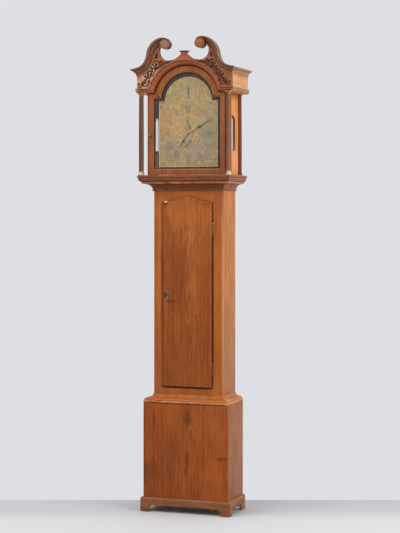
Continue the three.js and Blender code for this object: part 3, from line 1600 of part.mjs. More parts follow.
// Gut lines: down from the seatboard, under the pulley, and up through the seatboard to the drum
function line(name, sx) {
  const fixedTop = seatBottom - gap;
  const drumSide = windingZ - lineBelowDrum;
  const section = [];
  for (let i = 0; i < 6; i += 1) {
    const angle = (i / 6) * 2 * Math.PI;
    section.push([lineRadius * Math.cos(angle), lineRadius * Math.sin(angle)]);
  }
  const x = sx * windingX + weightShift;
  const rings = [section.map(([u, v]) => [x + pulleyRadius + u, wall - weightDepth + v, fixedTop])];
  const steps = 12;
  for (let i = 0; i <= steps; i += 1) {
    const angle = -(i / steps) * Math.PI;
    rings.push(section.map(([u, v]) => [
      x + (pulleyRadius + u) * Math.cos(angle),
      wall - weightDepth + v,
      pulleyZ + (pulleyRadius + u) * Math.sin(angle),
    ]));
  }
  rings.push(section.map(([u, v]) => [x - pulleyRadius - u, wall - weightDepth + v, drumSide]));
  piece(name, loft(rings, section), gut());
}

backboard();
baseBox();
skirts();
waistMoulding();
trunkSides();
trunkFrontFrame();
throatMoulding();
trunkDoor();
trunkHinge('trunk_hinge_upper', trunkHingeUpper);
trunkHinge('trunk_hinge_lower', trunkHingeLower);
trunkLock();
trunkKey();

hoodRail();
hoodSides();
frontColumns();
archMoulding();
scrollBoardPiece();
entablatures();
swanNecks();
roof();
hoodDoor();
hoodDoorGlass();
hoodStraps();
hoodKnob();

seatboard();
backPlate();
frontPlate();
barrel('going_barrel', 1, goingWheelDepth);
barrel('strike_barrel', -1, strikeWheelDepth);
centreWheel();
thirdWheel();
escapeWheel();
anchor();
pendulumRod();
pendulumBob();
bell();
hammer();
dialPlate();
hourHand();
minuteHand();
smallHands();
weight('going_weight', 1);
weight('strike_weight', -1);
line('going_line', 1);
line('strike_line', -1);

export default clock;
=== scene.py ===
"""Fine surfaces and finishes of a longcase pendulum clock.

The clock stands against the wall plane and faces -Y. A depth is measured forward from the wall and a
level up from the floor. Shapes are drawn in millimetres; marks in the wood and the stage are in metres.
"""
from types import SimpleNamespace

import bmesh
import bpy
import numpy as np
from bpy.props import FloatProperty, FloatVectorProperty, IntProperty, PointerProperty
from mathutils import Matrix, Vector


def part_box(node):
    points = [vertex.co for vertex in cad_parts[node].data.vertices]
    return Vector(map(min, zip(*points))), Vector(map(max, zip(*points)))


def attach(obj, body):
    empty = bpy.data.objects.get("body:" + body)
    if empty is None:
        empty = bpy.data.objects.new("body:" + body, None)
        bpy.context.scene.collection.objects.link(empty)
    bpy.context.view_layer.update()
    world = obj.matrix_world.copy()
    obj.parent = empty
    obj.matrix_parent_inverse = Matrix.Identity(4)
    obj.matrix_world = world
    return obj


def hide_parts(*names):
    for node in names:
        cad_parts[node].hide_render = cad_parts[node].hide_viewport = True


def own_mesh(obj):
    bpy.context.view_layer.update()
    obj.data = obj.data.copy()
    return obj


bl_info = {
    "name": "Longcase Clock",
    "version": (1, 0, 0),
    "blender": (4, 5, 0),
    "location": "3D View > Sidebar > Clock",
    "description": "Mouldings, carving, dial work and finishes of a longcase pendulum clock",
    "category": "Add Mesh",
}

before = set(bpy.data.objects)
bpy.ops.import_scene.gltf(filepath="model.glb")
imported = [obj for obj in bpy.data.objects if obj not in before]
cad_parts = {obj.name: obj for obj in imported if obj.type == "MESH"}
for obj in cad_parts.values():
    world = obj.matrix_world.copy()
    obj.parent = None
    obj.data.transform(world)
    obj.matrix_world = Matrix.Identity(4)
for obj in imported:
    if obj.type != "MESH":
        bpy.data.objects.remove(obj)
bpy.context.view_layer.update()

MM = 0.001
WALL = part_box("backboard")[1][1]


def span(node):
    """Sides, depths forward of the wall and levels of a node, each as (least, most)."""
    low, high = np.array(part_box(node)) / MM
    wall = WALL / MM
    return (low[0], high[0]), (wall - high[1], wall - low[1]), (low[2], high[2])


def centre_of(node):
    """Middle of a node, as side, depth and level."""
    return [(least + most) / 2 for least, most in span(node)]


# Levels and places taken from the construction model
CLEAR = 0.3  # room between two pieces
(_, TRUNK_HALF), (_, TRUNK_FRONT), _ = span("trunk_front_frame")
(_, BASE_HALF), (_, BASE_FRONT), _ = span("base_front")
SKIRT_TOP = span("skirt_front")[2][1]
HOOD_FLOOR = span("hood_rail")[2][1]
COLUMNS_TOP = span("front_column_right")[2][1]
(_, DOOR_HALF), (DOOR_REAR, DOOR_FRONT), (DOOR_BOTTOM, _) = span("hood_door")
ARCH_CENTRE = COLUMNS_TOP - 34  # level that the arch over the door is drawn from
ARCH_INNER = 169.5
ARCH_BAND = 24  # height of the architrave, straight or arched
ARCHITRAVE_TOP = COLUMNS_TOP + ARCH_BAND
CORNICE_TOP = span("entablature_right")[2][1]
CORNICE_BOTTOM = CORNICE_TOP - 32.5
HOOD_SIDE = 203  # outer face of the hood's side boards
REAR_COLUMN_X = 205
COLUMN_RADIUS = 12.2
FRIEZE_HALF = 245
FRIEZE_FRONT = span("scroll_board")[1][1] - 8
BOARD = 16  # thickness of the pediment's board
# How far the cornice and the architrave stand out from the frieze, at the side and at the front
CORNICE_REACH, CORNICE_FRONT = 22.5, 32
ARCHITRAVE_REACH, ARCHITRAVE_FRONT = 9, 5
TIP = FRIEZE_FRONT + CORNICE_FRONT  # depth of the discs' faces
NECK_TOP = span("swan_neck_right")[2][1]
NECK_TOP_X = 108
NECK_WIDTH = 37
ROSETTE_X = 90
ROSETTE_Z = NECK_TOP - 31.5
ROSETTE_RADIUS = 25
# Lowest point of the board's edge between a neck and the plinth
DIP_X, DIP_Z = 80, CORNICE_TOP + 39.5
PLINTH_HALF = 15
PLINTH_SHOULDER = DIP_Z + 28
PLINTH_TOP = PLINTH_SHOULDER + 11
(_, DIAL_HALF), (_, DIAL_FRONT), (DIAL_BOTTOM, DIAL_TOP) = span("dial_plate")
DIAL_CENTRE = DIAL_BOTTOM + 161
DIAL_SHOULDER = DIAL_BOTTOM + 322
SELECTOR_Z = DIAL_SHOULDER + 42
SMALL_DIAL = 50
WINDING_X = 42
WINDING_Z = DIAL_CENTRE - 16


# Settings
def length(label, size, about):
    """A length that a user may change, in metres."""
    return FloatProperty(name=label, description=about, default=size, unit="LENGTH", min=0.0, precision=4)


def power(label, watts):
    """A lamp's power."""
    return FloatProperty(name=label, description="Power in watts", default=watts, min=0, subtype="POWER")


def tint(name, red, green, blue, about):
    """A colour given by its sRGB parts out of 255, kept in linear light."""
    label = name.replace("_", " ").capitalize()
    value = [linear(part) for part in (red, green, blue)]
    return FloatVectorProperty(
        name=label, description=about, default=value, size=3, subtype="COLOR", min=0, max=1
    )


def linear(part):
    """Linear light of an sRGB part out of 255."""
    share = part / 255
    return share / 12.92 if share <= 0.04045 else ((share + 0.055) / 1.055) ** 2.4


class ClockSizes(bpy.types.PropertyGroup):
    """Sizes of the worked surfaces"""

    arris: length("Arris", 0.5 * MM, "How far a corner of a moulding is eased")
    board_arris: length("Board arris", 0.7 * MM, "How far a corner of a board is eased")
    door_ovolo: length("Door moulding", 5.0 * MM, "Width of the round worked on the trunk door's lip")
    glazing_ovolo: length("Glazing moulding", 7.0 * MM, "Width of the round worked inside the hood door")
    carving_rise: length("Carving", 2.6 * MM, "How far the fret stands off the pediment's board")
    stem: length("Stem", 3.4 * MM, "Half width of the fret's main stem")
    cap_height: length("Column cap", 17.0 * MM, "Height of a column's brass base and cap")
    engraving: length("Engraving", 0.15 * MM, "How far the dial's waxed marks stand off it")
    ring_height: length("Chapter ring", 0.35 * MM, "How far the chapter ring stands off the dial")
    minute_marks: IntProperty(
        name="Minutes", description="Marks round the chapter ring", default=60, min=12
    )


# Colours as the parts of an sRGB colour out of 255
COLOURS = {
    "base": (139, 68, 20, "Oak of the base's front"),
    # Paler copy of the front's oak: painted light and sheen on the sides
    "base_side": (147, 92, 56, "Oak of the base's sides"),
    "trunk": (156, 82, 26, "Oak of the trunk's front"),
    "trunk_door": (131, 65, 19, "Oak of the trunk's door"),
    "door": (136, 76, 36, "Oak of the hood's door"),
    # Side, hood side and frieze tones are paler copies of the fronts' oak: painted light and sheen on the
    # sides
    "side": (178, 110, 54, "Oak of the trunk's sides"),
    "hood_side": (208, 126, 54, "Oak of the hood's sides"),
    "frieze": (202, 146, 96, "Oak over the hood's sides"),
    "moulding": (114, 60, 28, "Dark oak of the hood's rail, the throat and the necks"),
    "neck": (102, 54, 26, "Dark oak of the swan necks"),
    # Paler copy of the moulding's oak: painted light on the returns
    "moulding_side": (142, 84, 54, "The same along the sides"),
    "waist": (168, 92, 38, "Oak of the moulding on the base"),
    # Paler copy of the waist's oak: painted light on the returns
    "waist_side": (188, 120, 68, "The same along the sides"),
    "skirt": (126, 76, 43, "Oak of the skirt and its feet"),
    # Paler copy of the skirt's oak: painted light on the sides
    "skirt_side": (136, 88, 52, "Oak of the skirt's sides"),
    # Pale tone of the cornice returns on the sides: painted light
    "cornice": (160, 114, 78, "Mouldings over the hood's sides"),
    "archivolt": (140, 76, 40, "Oak of the moulding over the door"),
    # The front columns are one oak in a shaded copy (left) and a lit copy (right): painted shade and
    # painted light
    "column_left": (92, 52, 31, "Dark oak of the left front column"),
    # Darker than the front columns' oak: painted shade at the hood's back edges
    "column_rear": (104, 52, 24, "Dark oak at the hood's back edges"),
    # Lit copy of the left column's oak: painted light
    "column_right": (120, 66, 33, "Oak of the right front column"),
    "ground": (140, 80, 44, "Board behind the fret"),
    "fret": (58, 33, 22, "Carved fret"),
    "rosette": (122, 84, 70, "Disc of the left scroll"),
    # Pale of rubbed edges, also used for painted highlights on arrises
    "worn": (226, 184, 146, "Wood that handling has rubbed pale"),
    "pine": (146, 112, 78, "Boards inside"),
    "brass": (196, 162, 104, "Clean brass"),
    "pale_brass": (216, 194, 150, "Lacquered brass that catches the light"),
    "tarnish": (92, 66, 40, "Brass that has gone brown"),
    "dial_gold": (140, 116, 60, "Body of the dial"),
    "dial_amber": (156, 106, 46, "Warm cast on the dial"),
    "dial_lilac": (126, 104, 100, "Worn silvering on the dial"),
    "dial_green": (118, 122, 72, "Green cast on the dial"),
    "wax": (84, 68, 48, "Wax in the dial's numerals"),
    "steel": (58, 50, 50, "Blued steel of the hands"),
    "iron": (62, 60, 60, "Cast iron of the weights"),
    # Pale enough to stand for a painted reflection in the right side's window
    "pane": (222, 216, 214, "Old glass in the hood's sides"),
    "gut": (196, 168, 120, "Gut lines"),
    "floor": (197, 197, 199, "Floor that the clock stands on"),
    # Darker towards the rear: painted shade near the floor's rear edge
    "floor_far": (182, 182, 185, "The floor towards its rear edge"),
    "backdrop": (222, 223, 228, "What is behind the clock"),
}


class ClockColours(bpy.types.PropertyGroup):
    """Colours of the finishes"""

    __annotations__ = {name: tint(name, *values) for name, values in COLOURS.items()}


# Marks on the boards, as (side, level, half width, half height, share, colour, raggedness): stains, a
# crack, a knot and a chip, and where noted painted shade and painted highlights
# Brown of stains, also used for painted shade along the top of the hood's sides
STAIN_AND_SHADE = (0.03, 0.011, 0.006)
DARK = (0.01, 0.005, 0.004)
CHIP = (0.72, 0.55, 0.4)
PALE = (0.62, 0.4, 0.24)
BASE_SPOTS = (
    (0.008, 0.46, 0.022, 0.055, 0.5, STAIN_AND_SHADE, 4),
    (0.03, 0.385, 0.014, 0.06, 0.45, STAIN_AND_SHADE, 4),
    (0.006, 0.24, 0.014, 0.08, 0.5, STAIN_AND_SHADE, 3),
    (0.178, 0.274, 0.022, 0.011, 0.65, STAIN_AND_SHADE, 1.6),
    (0.2, 0.277, 0.024, 0.007, 0.4, STAIN_AND_SHADE, 2),
    (-0.16, 0.2, 0.06, 0.07, 0.4, STAIN_AND_SHADE, 5),
    (-0.166, 0.46, 0.0026, 0.1, 0.8, DARK, 0.9),
    (-0.158, 0.45, 0.0018, 0.06, 0.6, DARK, 0.8),
    (0.0, 0.535, 0.22, 0.006, 0.6, DARK, 0),
    (-0.216, 0.29, 0.005, 0.25, 0.6, DARK, 0.6),
)
TRUNK_SPOTS = (
    # Painted shadow under the door's lip, with grime
    (-0.006, 0.6085, 0.136, 0.0055, 0.95, DARK, 0),
    # Painted shade in the gap along the door's hinge edge
    (0.1285, 1.065, 0.0034, 0.46, 0.95, DARK, 0),
    # Painted highlight along the trunk's right front arris
    (0.1775, 1.05, 0.003, 0.6, 0.35, PALE, 0.8),
)
DOOR_SPOTS = (
    # Painted light: the door's upper part lighter
    (0.0, 1.45, 0.13, 0.14, 0.4, (0.42, 0.13, 0.03), 3),
    (0.02, 1.1, 0.03, 0.3, 0.25, (0.42, 0.13, 0.03), 5),
    (-0.117, 1.52, 0.009, 0.0065, 0.95, CHIP, 1.2),
    (-0.124, 1.508, 0.02, 0.008, 0.6, DARK, 2.5),
    (-0.132, 1.06, 0.008, 0.5, 0.55, STAIN_AND_SHADE, 1.5),
    (-0.08, 1.03, 0.035, 0.008, 0.4, STAIN_AND_SHADE, 3),
)
# Painted shade: the trunk's sides darker towards the bottom
TRUNK_SIDE_SHADE = ((0.0, 0.68, 1.5, 0.36, 0.5, (0.24, 0.085, 0.03), 4),)
# First mark: painted shade along the top of the hood's sides, under the cornice; second: a paler band
# lower down
HOOD_SIDE_SPOTS = ((0.0, 2.06, 1.5, 0.045, 0.6, STAIN_AND_SHADE, 1.5), (0.0, 1.7, 1.5, 0.1, 0.25, PALE, 4))
# Painted shade in the gap along the hood door's right edge
HOOD_DOOR_EDGE_SHADE = ((DOOR_HALF * MM - 0.002, 1.86, 0.0045, 0.21, 0.8, DARK, 0),)
# Painted highlights on the left half of the board behind the fret
GROUND_SPOTS = (
    (-0.2, 2.1, 0.05, 0.04, 0.6, PALE, 1),
    (-0.165, 2.16, 0.035, 0.05, 0.5, PALE, 1),
)
DIAL_SPOTS = (
    (-0.075, 1.9, 0.07, 0.09, 0.45, (0.4, 0.2, 0.055), 5),
    (0.03, 1.93, 0.06, 0.05, 0.3, (0.38, 0.2, 0.07), 5),
    (0.12, 1.86, 0.05, 0.13, 0.6, (0.17, 0.19, 0.09), 5),
    (0.035, 1.77, 0.09, 0.06, 0.6, (0.22, 0.15, 0.13), 5),
    (0.095, 1.85, 0.03, 0.03, 0.6, (0.13, 0.11, 0.11), 3),
    (-0.09, 1.78, 0.05, 0.06, 0.45, (0.21, 0.14, 0.12), 5),
    (0.0, 2.06, 0.05, 0.05, 0.5, (0.17, 0.17, 0.11), 4),
)


class ClockStage(bpy.types.PropertyGroup):
    """Camera and light"""

    camera_place: FloatVectorProperty(
        name="Camera",
        description="Place of the lens",
        default=(2.61687, -7.07292, 1.45772),
        subtype="TRANSLATION",
    )
    camera_turn: FloatProperty(
        name="Turn",
        description="Heading of the camera",
        default=np.radians(19.99),
        subtype="ANGLE",
    )
    lens: FloatProperty(name="Lens", description="Focal length in millimetres", default=103.61, min=10)
    shift: FloatProperty(name="Shift", description="Upward shift of the picture", default=-0.0985)
    key: power("Key light", 112.0)
    fill: power("Fill light", 130.0)
    sky: FloatProperty(
        name="Surrounding light", description="Strength of the even light", default=0.82, min=0
    )
    rear_edge: length("Floor's rear edge", 0.28, "How far past the middle the floor ends")


# Places
def forward(x, depth, level):
    """Points in metres at a side, a depth forward of the wall and a level."""
    x, depth, level = np.broadcast_arrays(x, depth, level)
    return np.stack([x * MM, WALL - depth * MM, level * MM], axis=-1)


def facing_front(across, up, out):
    """An outline seen from the front, with its thickness forward from the wall."""
    return forward(across, out, up)


def facing_side(side):
    """An outline of depth and level, with its thickness out to the right (1) or the left (-1)."""
    return lambda depth, up, out: forward(side * out, depth, up)


def from_corner(first, second):
    """Function that places points by their distances from a corner."""
    return lambda a, b: (first + a, second + b)


# Profiles and outlines
def winding(outline):
    """1 for an outline that runs anticlockwise and -1 for one that runs clockwise."""
    x, z = outline.T
    return np.sign(np.sum(x * np.roll(z, -1) - np.roll(x, -1) * z))


def quarter(start, end, across_first, steps=8):
    """Quarter of an ellipse from one point to another: one part grows with the sine of an angle from
    0 to 90 degrees and the other with 1 less its cosine."""
    angle = np.linspace(0, np.pi / 2, steps + 1)[1:]
    fast, slow = np.sin(angle), 1 - np.cos(angle)
    across = start[0] + (end[0] - start[0]) * (fast if across_first else slow)
    up = start[1] + (end[1] - start[1]) * (slow if across_first else fast)
    return list(zip(across, up))


def bead(start, end, bulge, steps=8):
    """Round from one point to another: the chord, plus the bulge times the sine of an angle from 0 to
    180 degrees, to the right of the way along the chord."""
    share = np.linspace(0, 1, steps + 1)[1:, None]
    start, end = np.array(start, float), np.array(end, float)
    chord = end - start
    square = np.array([chord[1], -chord[0]]) / np.linalg.norm(chord)
    return list(map(tuple, start + share * chord + bulge * np.sin(np.pi * share) * square))


def eased(profile, ease):
    """Closed profile with its corners cut back by `ease`, and a wear value at each: above 0 where an edge
    is rubbed pale and carries a painted highlight, below 0 where a hollow corner holds grime and painted
    shade. Four points stand for each corner: two on the cut and one on each side, where the value ends."""
    points = np.array(profile, float)
    points = points[np.linalg.norm(points - np.roll(points, 1, axis=0), axis=1) > 1e-4]
    sides = []
    for way in (1, -1):
        side = np.roll(points, way, axis=0) - points
        far = np.linalg.norm(side, axis=1, keepdims=True)
        side /= far
        near = points + side * np.minimum(ease, 0.2 * far)
        sides.append((side, near, points + side * np.minimum(8 * ease, 0.45 * far)))
    (back, near_back, far_back), (ahead, near_ahead, far_ahead) = sides
    turn = back[:, 1] * ahead[:, 0] - back[:, 0] * ahead[:, 1]
    bent = turn * winding(points) * 1.4
    sharp = np.clip(bent - 0.35, 0, 1) - np.clip(-bent - 0.2, 0, 1)
    wear = np.stack([0 * sharp, sharp, sharp, 0 * sharp], axis=1)
    return np.stack([far_back, near_back, near_ahead, far_ahead], axis=1).reshape(-1, 2), wear.ravel()


def bend(start, towards, end, steps=10):
    """Curve from start to end that leaves towards the middle point: the three points weighted by
    (1 - t) squared, 2 t (1 - t) and t squared."""
    t = np.linspace(0, 1, steps + 1)[1:, None]
    start, towards, end = (np.array(p, float) for p in (start, towards, end))
    return list(map(tuple, (1 - t) ** 2 * start + 2 * t * (1 - t) * towards + t**2 * end))


def arc(centre, radius, start, end, steps):
    """Points of a circle about a centre, from one angle to another."""
    angle = np.linspace(start, end, steps + 1)
    return list(zip(centre[0] + radius * np.cos(angle), centre[1] + radius * np.sin(angle)))


def through(knots, count):
    """Smooth curve through the knots: each stretch blends four knots in turn, spaced by the square
    roots of their distances, with a knot mirrored past each end (centripetal Catmull-Rom)."""
    knots = np.asarray(knots, float)
    padded = np.vstack([2 * knots[0] - knots[1], knots, 2 * knots[-1] - knots[-2]])
    place = np.linspace(0, len(knots) - 1, count)
    k = np.minimum(place.astype(int), len(knots) - 2)
    points = [padded[k + i] for i in range(4)]
    times = [np.zeros((count, 1))]
    for i in range(3):
        times.append(times[i] + np.linalg.norm(points[i + 1] - points[i], axis=1, keepdims=True) ** 0.5)
    t = times[1] + (place - k)[:, None] * (times[2] - times[1])

    def blend(a, b, start, end):
        """Mix of two points by where the time t lies between theirs."""
        return ((end - t) * a + (t - start) * b) / (end - start)

    twos = [blend(points[i], points[i + 1], times[i], times[i + 1]) for i in range(3)]
    threes = [blend(twos[i], twos[i + 1], times[i], times[i + 2]) for i in range(2)]
    return blend(*threes, times[1], times[2])


def inset(outline, by):
    """Closed outline moved inwards: each point goes along the sum of its two edges' inner normals,
    far enough to keep both edges parallel to themselves."""
    outline = np.asarray(outline, float)
    ahead = np.roll(outline, -1, axis=0) - outline
    ahead /= np.linalg.norm(ahead, axis=1, keepdims=True)
    normal = winding(outline) * np.stack([-ahead[:, 1], ahead[:, 0]], axis=1)
    both = normal + np.roll(normal, 1, axis=0)
    return outline + by * 2 * both / np.maximum(np.sum(both * both, axis=1, keepdims=True), 0.4)


def filled(outline, step):
    """Closed outline with further points along its edges, no more than a step apart."""
    outline = np.asarray(outline, float)
    ends = np.roll(outline, -1, axis=0)
    counts = np.maximum(1, np.ceil(np.linalg.norm(ends - outline, axis=1) / step)).astype(int)
    edge = np.repeat(np.arange(len(outline)), counts)
    first = np.repeat(np.cumsum(counts) - counts, counts)
    share = ((np.arange(len(edge)) - first) / counts[edge])[:, None]
    return outline[edge] * (1 - share) + ends[edge] * share


def seen_from(outline, middle, angles):
    """The outline's points in the directions `angles` from a middle that sees all of it."""
    points = filled(outline, 1) - middle
    bearing = np.arctan2(points[:, 1], points[:, 0])
    order = np.argsort(bearing)
    bearing, points = bearing[order], points[order]
    x = np.interp(angles, bearing, points[:, 0], period=2 * np.pi)
    z = np.interp(angles, bearing, points[:, 1], period=2 * np.pi)
    return np.stack([x, z], axis=1) + middle


# Shells: points, faces, distances along and across the grain, and the wear value: rubbing and grime, with
# painted highlights and painted shade
def stretch(grid, axis):
    """Distance from the first row (or column) to each one, and round to it again, on the average
    over the grid."""
    steps = np.diff(np.concatenate([grid, np.take(grid, [0], axis=axis)], axis=axis), axis=axis)
    mean = np.linalg.norm(steps, axis=-1).mean(axis=1 - axis)
    return np.concatenate([[0], np.cumsum(mean)])


def volume(points, quads, caps):
    """Six times the volume inside the faces: the sum of each triangle's triple product."""
    a, b, c, d = (points[quads[:, k]] for k in range(4))
    total = np.sum(a * np.cross(b, c)) + np.sum(a * np.cross(c, d))
    for cap in caps:
        ring = points[cap]
        total += np.sum(ring[0] * np.cross(ring[1:-1], ring[2:]))
    return total


def shell(grid, round_rows=False, round_columns=False, ends=False, grain="rows", wear=0.0):
    """Closed surface of a grid of points: quads between neighbours, with the last row or column
    joined to the first where it is round, and a flat face on each end row if asked. Faces are
    turned to point outwards."""
    rows, columns = grid.shape[:2]
    i = np.arange(rows if round_rows else rows - 1)[:, None]
    j = np.arange(columns if round_columns else columns - 1)[None, :]
    i, j = (part.ravel() for part in np.broadcast_arrays(i, j))
    corner_rows = np.stack([i, i, i + 1, i + 1], axis=1)
    corner_columns = np.stack([j, j + 1, j + 1, j], axis=1)
    quads = (corner_rows % rows) * columns + corner_columns % columns
    points = grid.reshape(-1, 3)
    places = [stretch(grid, 0)[corner_rows], stretch(grid, 1)[corner_columns]]
    if grain == "columns":
        places.reverse()
    map_points = np.stack(places, axis=-1)
    caps = [np.arange(columns)[::-1], (rows - 1) * columns + np.arange(columns)] if ends else []
    if volume(points, quads, caps) < 0:
        quads, map_points = quads[:, ::-1], map_points[:, ::-1]
        caps = [cap[::-1] for cap in caps]
    flat = [np.stack([points[cap][:, 2], points[cap][:, 0] + points[cap][:, 1]], axis=1) for cap in caps]
    return {
        "points": points,
        "faces": quads.tolist() + [cap.tolist() for cap in caps],
        "map": np.concatenate([map_points.reshape(-1, 2), *flat]),
        "wear": np.broadcast_to(wear, grid.shape[:2]).ravel(),
    }


def plate(outline, steps, lay=facing_front, wear=0.0):
    """Board with a worked edge: the outline at each step (inset, place in the thickness), closed by a
    flat face at both ends, with the wear value of each step: rubbing and painted highlights above 0,
    grime and painted shade below."""
    grid = np.stack([lay(*inset(outline, by).T, at) for by, at in steps])
    return shell(grid, round_columns=True, ends=True, wear=np.reshape(wear, (-1, 1)))


def block(outline, low, high, ease):
    """Board with all its arrises eased."""
    return plate(outline, [(ease, low), (0, low + ease), (0, high - ease), (ease, high)])


def rectangle(x0, x1, z0, z1):
    """Outline of a rectangle."""
    return [(x0, z0), (x1, z0), (x1, z1), (x0, z1)]


def opened(outer, inner, middle, outer_steps, inner_steps, lay=facing_front, wear=0.0):
    """Board with an opening: both outlines are cut in the same directions from a middle inside the
    opening, and joined round the section that the steps (inset, place in the thickness) give."""
    corners = np.concatenate([np.asarray(outer), np.asarray(inner)]) - middle
    angles = np.arctan2(corners[:, 1], corners[:, 0])
    angles = np.unique(np.round(np.concatenate([angles, np.linspace(-np.pi, np.pi, 121)[1:]]), 6))
    outer, inner = seen_from(outer, middle, angles), seen_from(inner, middle, angles)
    rows = [lay(*inset(outer, by).T, at) for by, at in outer_steps]
    rows += [lay(*inset(inner, -by).T, at) for by, at in inner_steps]
    return shell(np.stack(rows), round_rows=True, round_columns=True, wear=np.reshape(wear, (-1, 1)))


def turned(profile, centre, along="level", sides=56, ring=False, ease=0.0):
    """Profile of (radius, place along the axis) carried round a circle. The axis is upright through
    (side, depth), or runs forward through (side, level). A ring's profile closes on itself, and an eased
    one is rubbed pale and given painted highlights and painted shade at its corners, except at its poles."""
    wear = 0.0
    if ease:
        profile, wear = eased(profile, ease)
        wear = np.where(profile[:, 0] > 4 * ease, wear, 0)
        if not ring:
            profile, wear = profile[1:-1], wear[1:-1]
    angle = np.linspace(0, 2 * np.pi, sides, endpoint=False)[:, None]
    radius, place = np.asarray(profile, float).T
    first, second = centre[0] + radius * np.cos(angle), centre[1] + radius * np.sin(angle)
    place = place + 0 * angle
    grid = forward(first, second, place) if along == "level" else forward(first, place, second)
    return shell(grid, round_rows=True, round_columns=ring, grain="columns", wear=wear)


def tube(path, radius, up, sides=12, closed=False):
    """Round bar of a radius along a path of points in metres: at each one a circle square to the
    path, with one axis square to both the path and `up`."""
    if closed:
        ahead = np.roll(path, -1, axis=0) - np.roll(path, 1, axis=0)
    else:
        ahead = np.gradient(path, axis=0)
    ahead /= np.linalg.norm(ahead, axis=1, keepdims=True)
    side = np.cross(ahead, up)
    side /= np.linalg.norm(side, axis=1, keepdims=True)
    angle = np.linspace(0, 2 * np.pi, sides, endpoint=False)[None, :, None]
    circle = np.cos(angle) * side[:, None] + np.sin(angle) * np.cross(side, ahead)[:, None]
    grid = path[:, None] + radius * MM * circle
    return shell(grid, round_rows=closed, round_columns=True, ends=not closed)


def ribbon(path, half, rise, face):
    """Carved strip that lies on a face: square to its path it is half an ellipse, `half` to each
    side and `rise` high, with a flat back."""
    path = np.asarray(path, float)
    ahead = np.gradient(path, axis=0)
    ahead /= np.linalg.norm(ahead, axis=1, keepdims=True)
    square = np.stack([-ahead[:, 1], ahead[:, 0]], axis=1)
    angle = np.linspace(0, np.pi, 9)
    half = np.broadcast_to(half, len(path))[:, None, None]
    rise = np.broadcast_to(rise, len(path))[:, None]
    places = path[:, None] + half * np.cos(angle)[None, :, None] * square[:, None]
    out = face + rise * np.sin(angle)[None, :]
    grid = forward(places[..., 0], out, places[..., 1])
    return shell(grid, round_columns=True, ends=True)


def mirrored(piece):
    """The same shell on the other side of the clock, with its faces turned back to point outwards."""
    corners = np.split(piece["map"], np.cumsum([len(face) for face in piece["faces"]])[:-1])
    return {
        "points": piece["points"] * (-1, 1, 1),
        "faces": [face[::-1] for face in piece["faces"]],
        "map": np.concatenate([part[::-1] for part in corners]),
        "wear": piece["wear"],
    }


def cleaned(mesh, dist, flatten=0.0):
    """Merges a mesh's points closer than a distance, and dissolves edges flatter than an angle."""
    shape = bmesh.new()
    shape.from_mesh(mesh)
    bmesh.ops.remove_doubles(shape, verts=shape.verts, dist=dist)
    if flatten:
        bmesh.ops.dissolve_limit(shape, angle_limit=flatten, verts=shape.verts, edges=shape.edges)
    shape.to_mesh(mesh)
    shape.free()
    return mesh


def solid(name, *shells):
    """Mesh of one or more shells, with the points of each pole merged."""
    starts = np.cumsum([0] + [len(part["points"]) for part in shells])
    faces = [[start + k for k in face] for start, part in zip(starts, shells) for face in part["faces"]]
    joined = {key: np.concatenate([part[key] for part in shells]) for key in ("points", "map", "wear")}
    mesh = bpy.data.meshes.new(name)
    mesh.from_pydata(joined["points"].tolist(), [], faces)
    grain = mesh.uv_layers.new(name="grain")
    grain.uv.foreach_set("vector", joined["map"].astype(np.float32).ravel())
    wear = mesh.attributes.new("wear", "FLOAT", "POINT")
    wear.data.foreach_set("value", joined["wear"].astype(np.float32))
    return cleaned(mesh, 1e-7)


def placed(name, data, place=(0, 0, 0)):
    """Object of some data, linked to the scene."""
    made = bpy.data.objects.new(name, data)
    bpy.context.scene.collection.objects.link(made)
    made.location = place
    return made


def seat(mesh, finish, body, nodes=(), crease=32):
    """Object of a mesh with its finish, riding on a body and standing for the nodes it replaces."""
    piece = placed(mesh.name, mesh)
    mesh.materials.clear()
    mesh.materials.append(finish)
    mesh.shade_smooth()
    mesh.set_sharp_from_angle(angle=np.radians(crease))
    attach(piece, body)
    if nodes:
        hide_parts(*nodes)
    return piece


def eased_board(node_name, finish, body, ease):
    """Copy of a construction piece with its doubles merged and its arrises rounded by a bevel."""
    mesh = cleaned(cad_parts[node_name].data.copy(), 1e-6, np.radians(1))
    mesh.name = f"{node_name}_board"
    piece = seat(mesh, finish, body, [node_name], crease=180)
    bevel = piece.modifiers.new("arrises", "BEVEL")
    bevel.width = ease * MM
    bevel.segments = 2
    bevel.limit_method = "ANGLE"
    bevel.angle_limit = np.radians(35)
    bevel.harden_normals = True
    return piece


# Finishes
def blank(name):
    """Material with an empty node tree, and the tree."""
    material = bpy.data.materials.get(name) or bpy.data.materials.new(name)
    material.use_nodes = True
    material.node_tree.nodes.clear()
    return material, material.node_tree


def node(tree, kind, inputs=None, **settings):
    """Node with its settings, each input either linked from a socket or set to a value."""
    made = tree.nodes.new(f"ShaderNode{kind}")
    for key, value in settings.items():
        setattr(made, key, value)
    for key, value in (inputs or {}).items():
        if isinstance(value, bpy.types.NodeSocket):
            tree.links.new(value, made.inputs[key])
        else:
            made.inputs[key].default_value = value
    return made


def maths(tree, operation, first, second=0.0):
    """Result of a sum on two values."""
    return node(tree, "Math", {0: first, 1: second}, operation=operation).outputs[0]


def plus(tree, value, part, share=1.0):
    """A value with a share of another added to it."""
    return node(tree, "Math", {0: part, 1: share, 2: value}, operation="MULTIPLY_ADD").outputs[0]


def rescale(tree, value, low, high, to_low, to_high):
    """Value taken from one range to another, held at its ends."""
    inputs = {"Value": value, "From Min": low, "From Max": high, "To Min": to_low, "To Max": to_high}
    return node(tree, "MapRange", inputs).outputs[0]


def moved(tree, place, offset=(0, 0, 0), scale=(1, 1, 1)):
    """Coordinates scaled and then moved."""
    return node(tree, "Mapping", {"Vector": place, "Location": offset, "Scale": scale}).outputs[0]


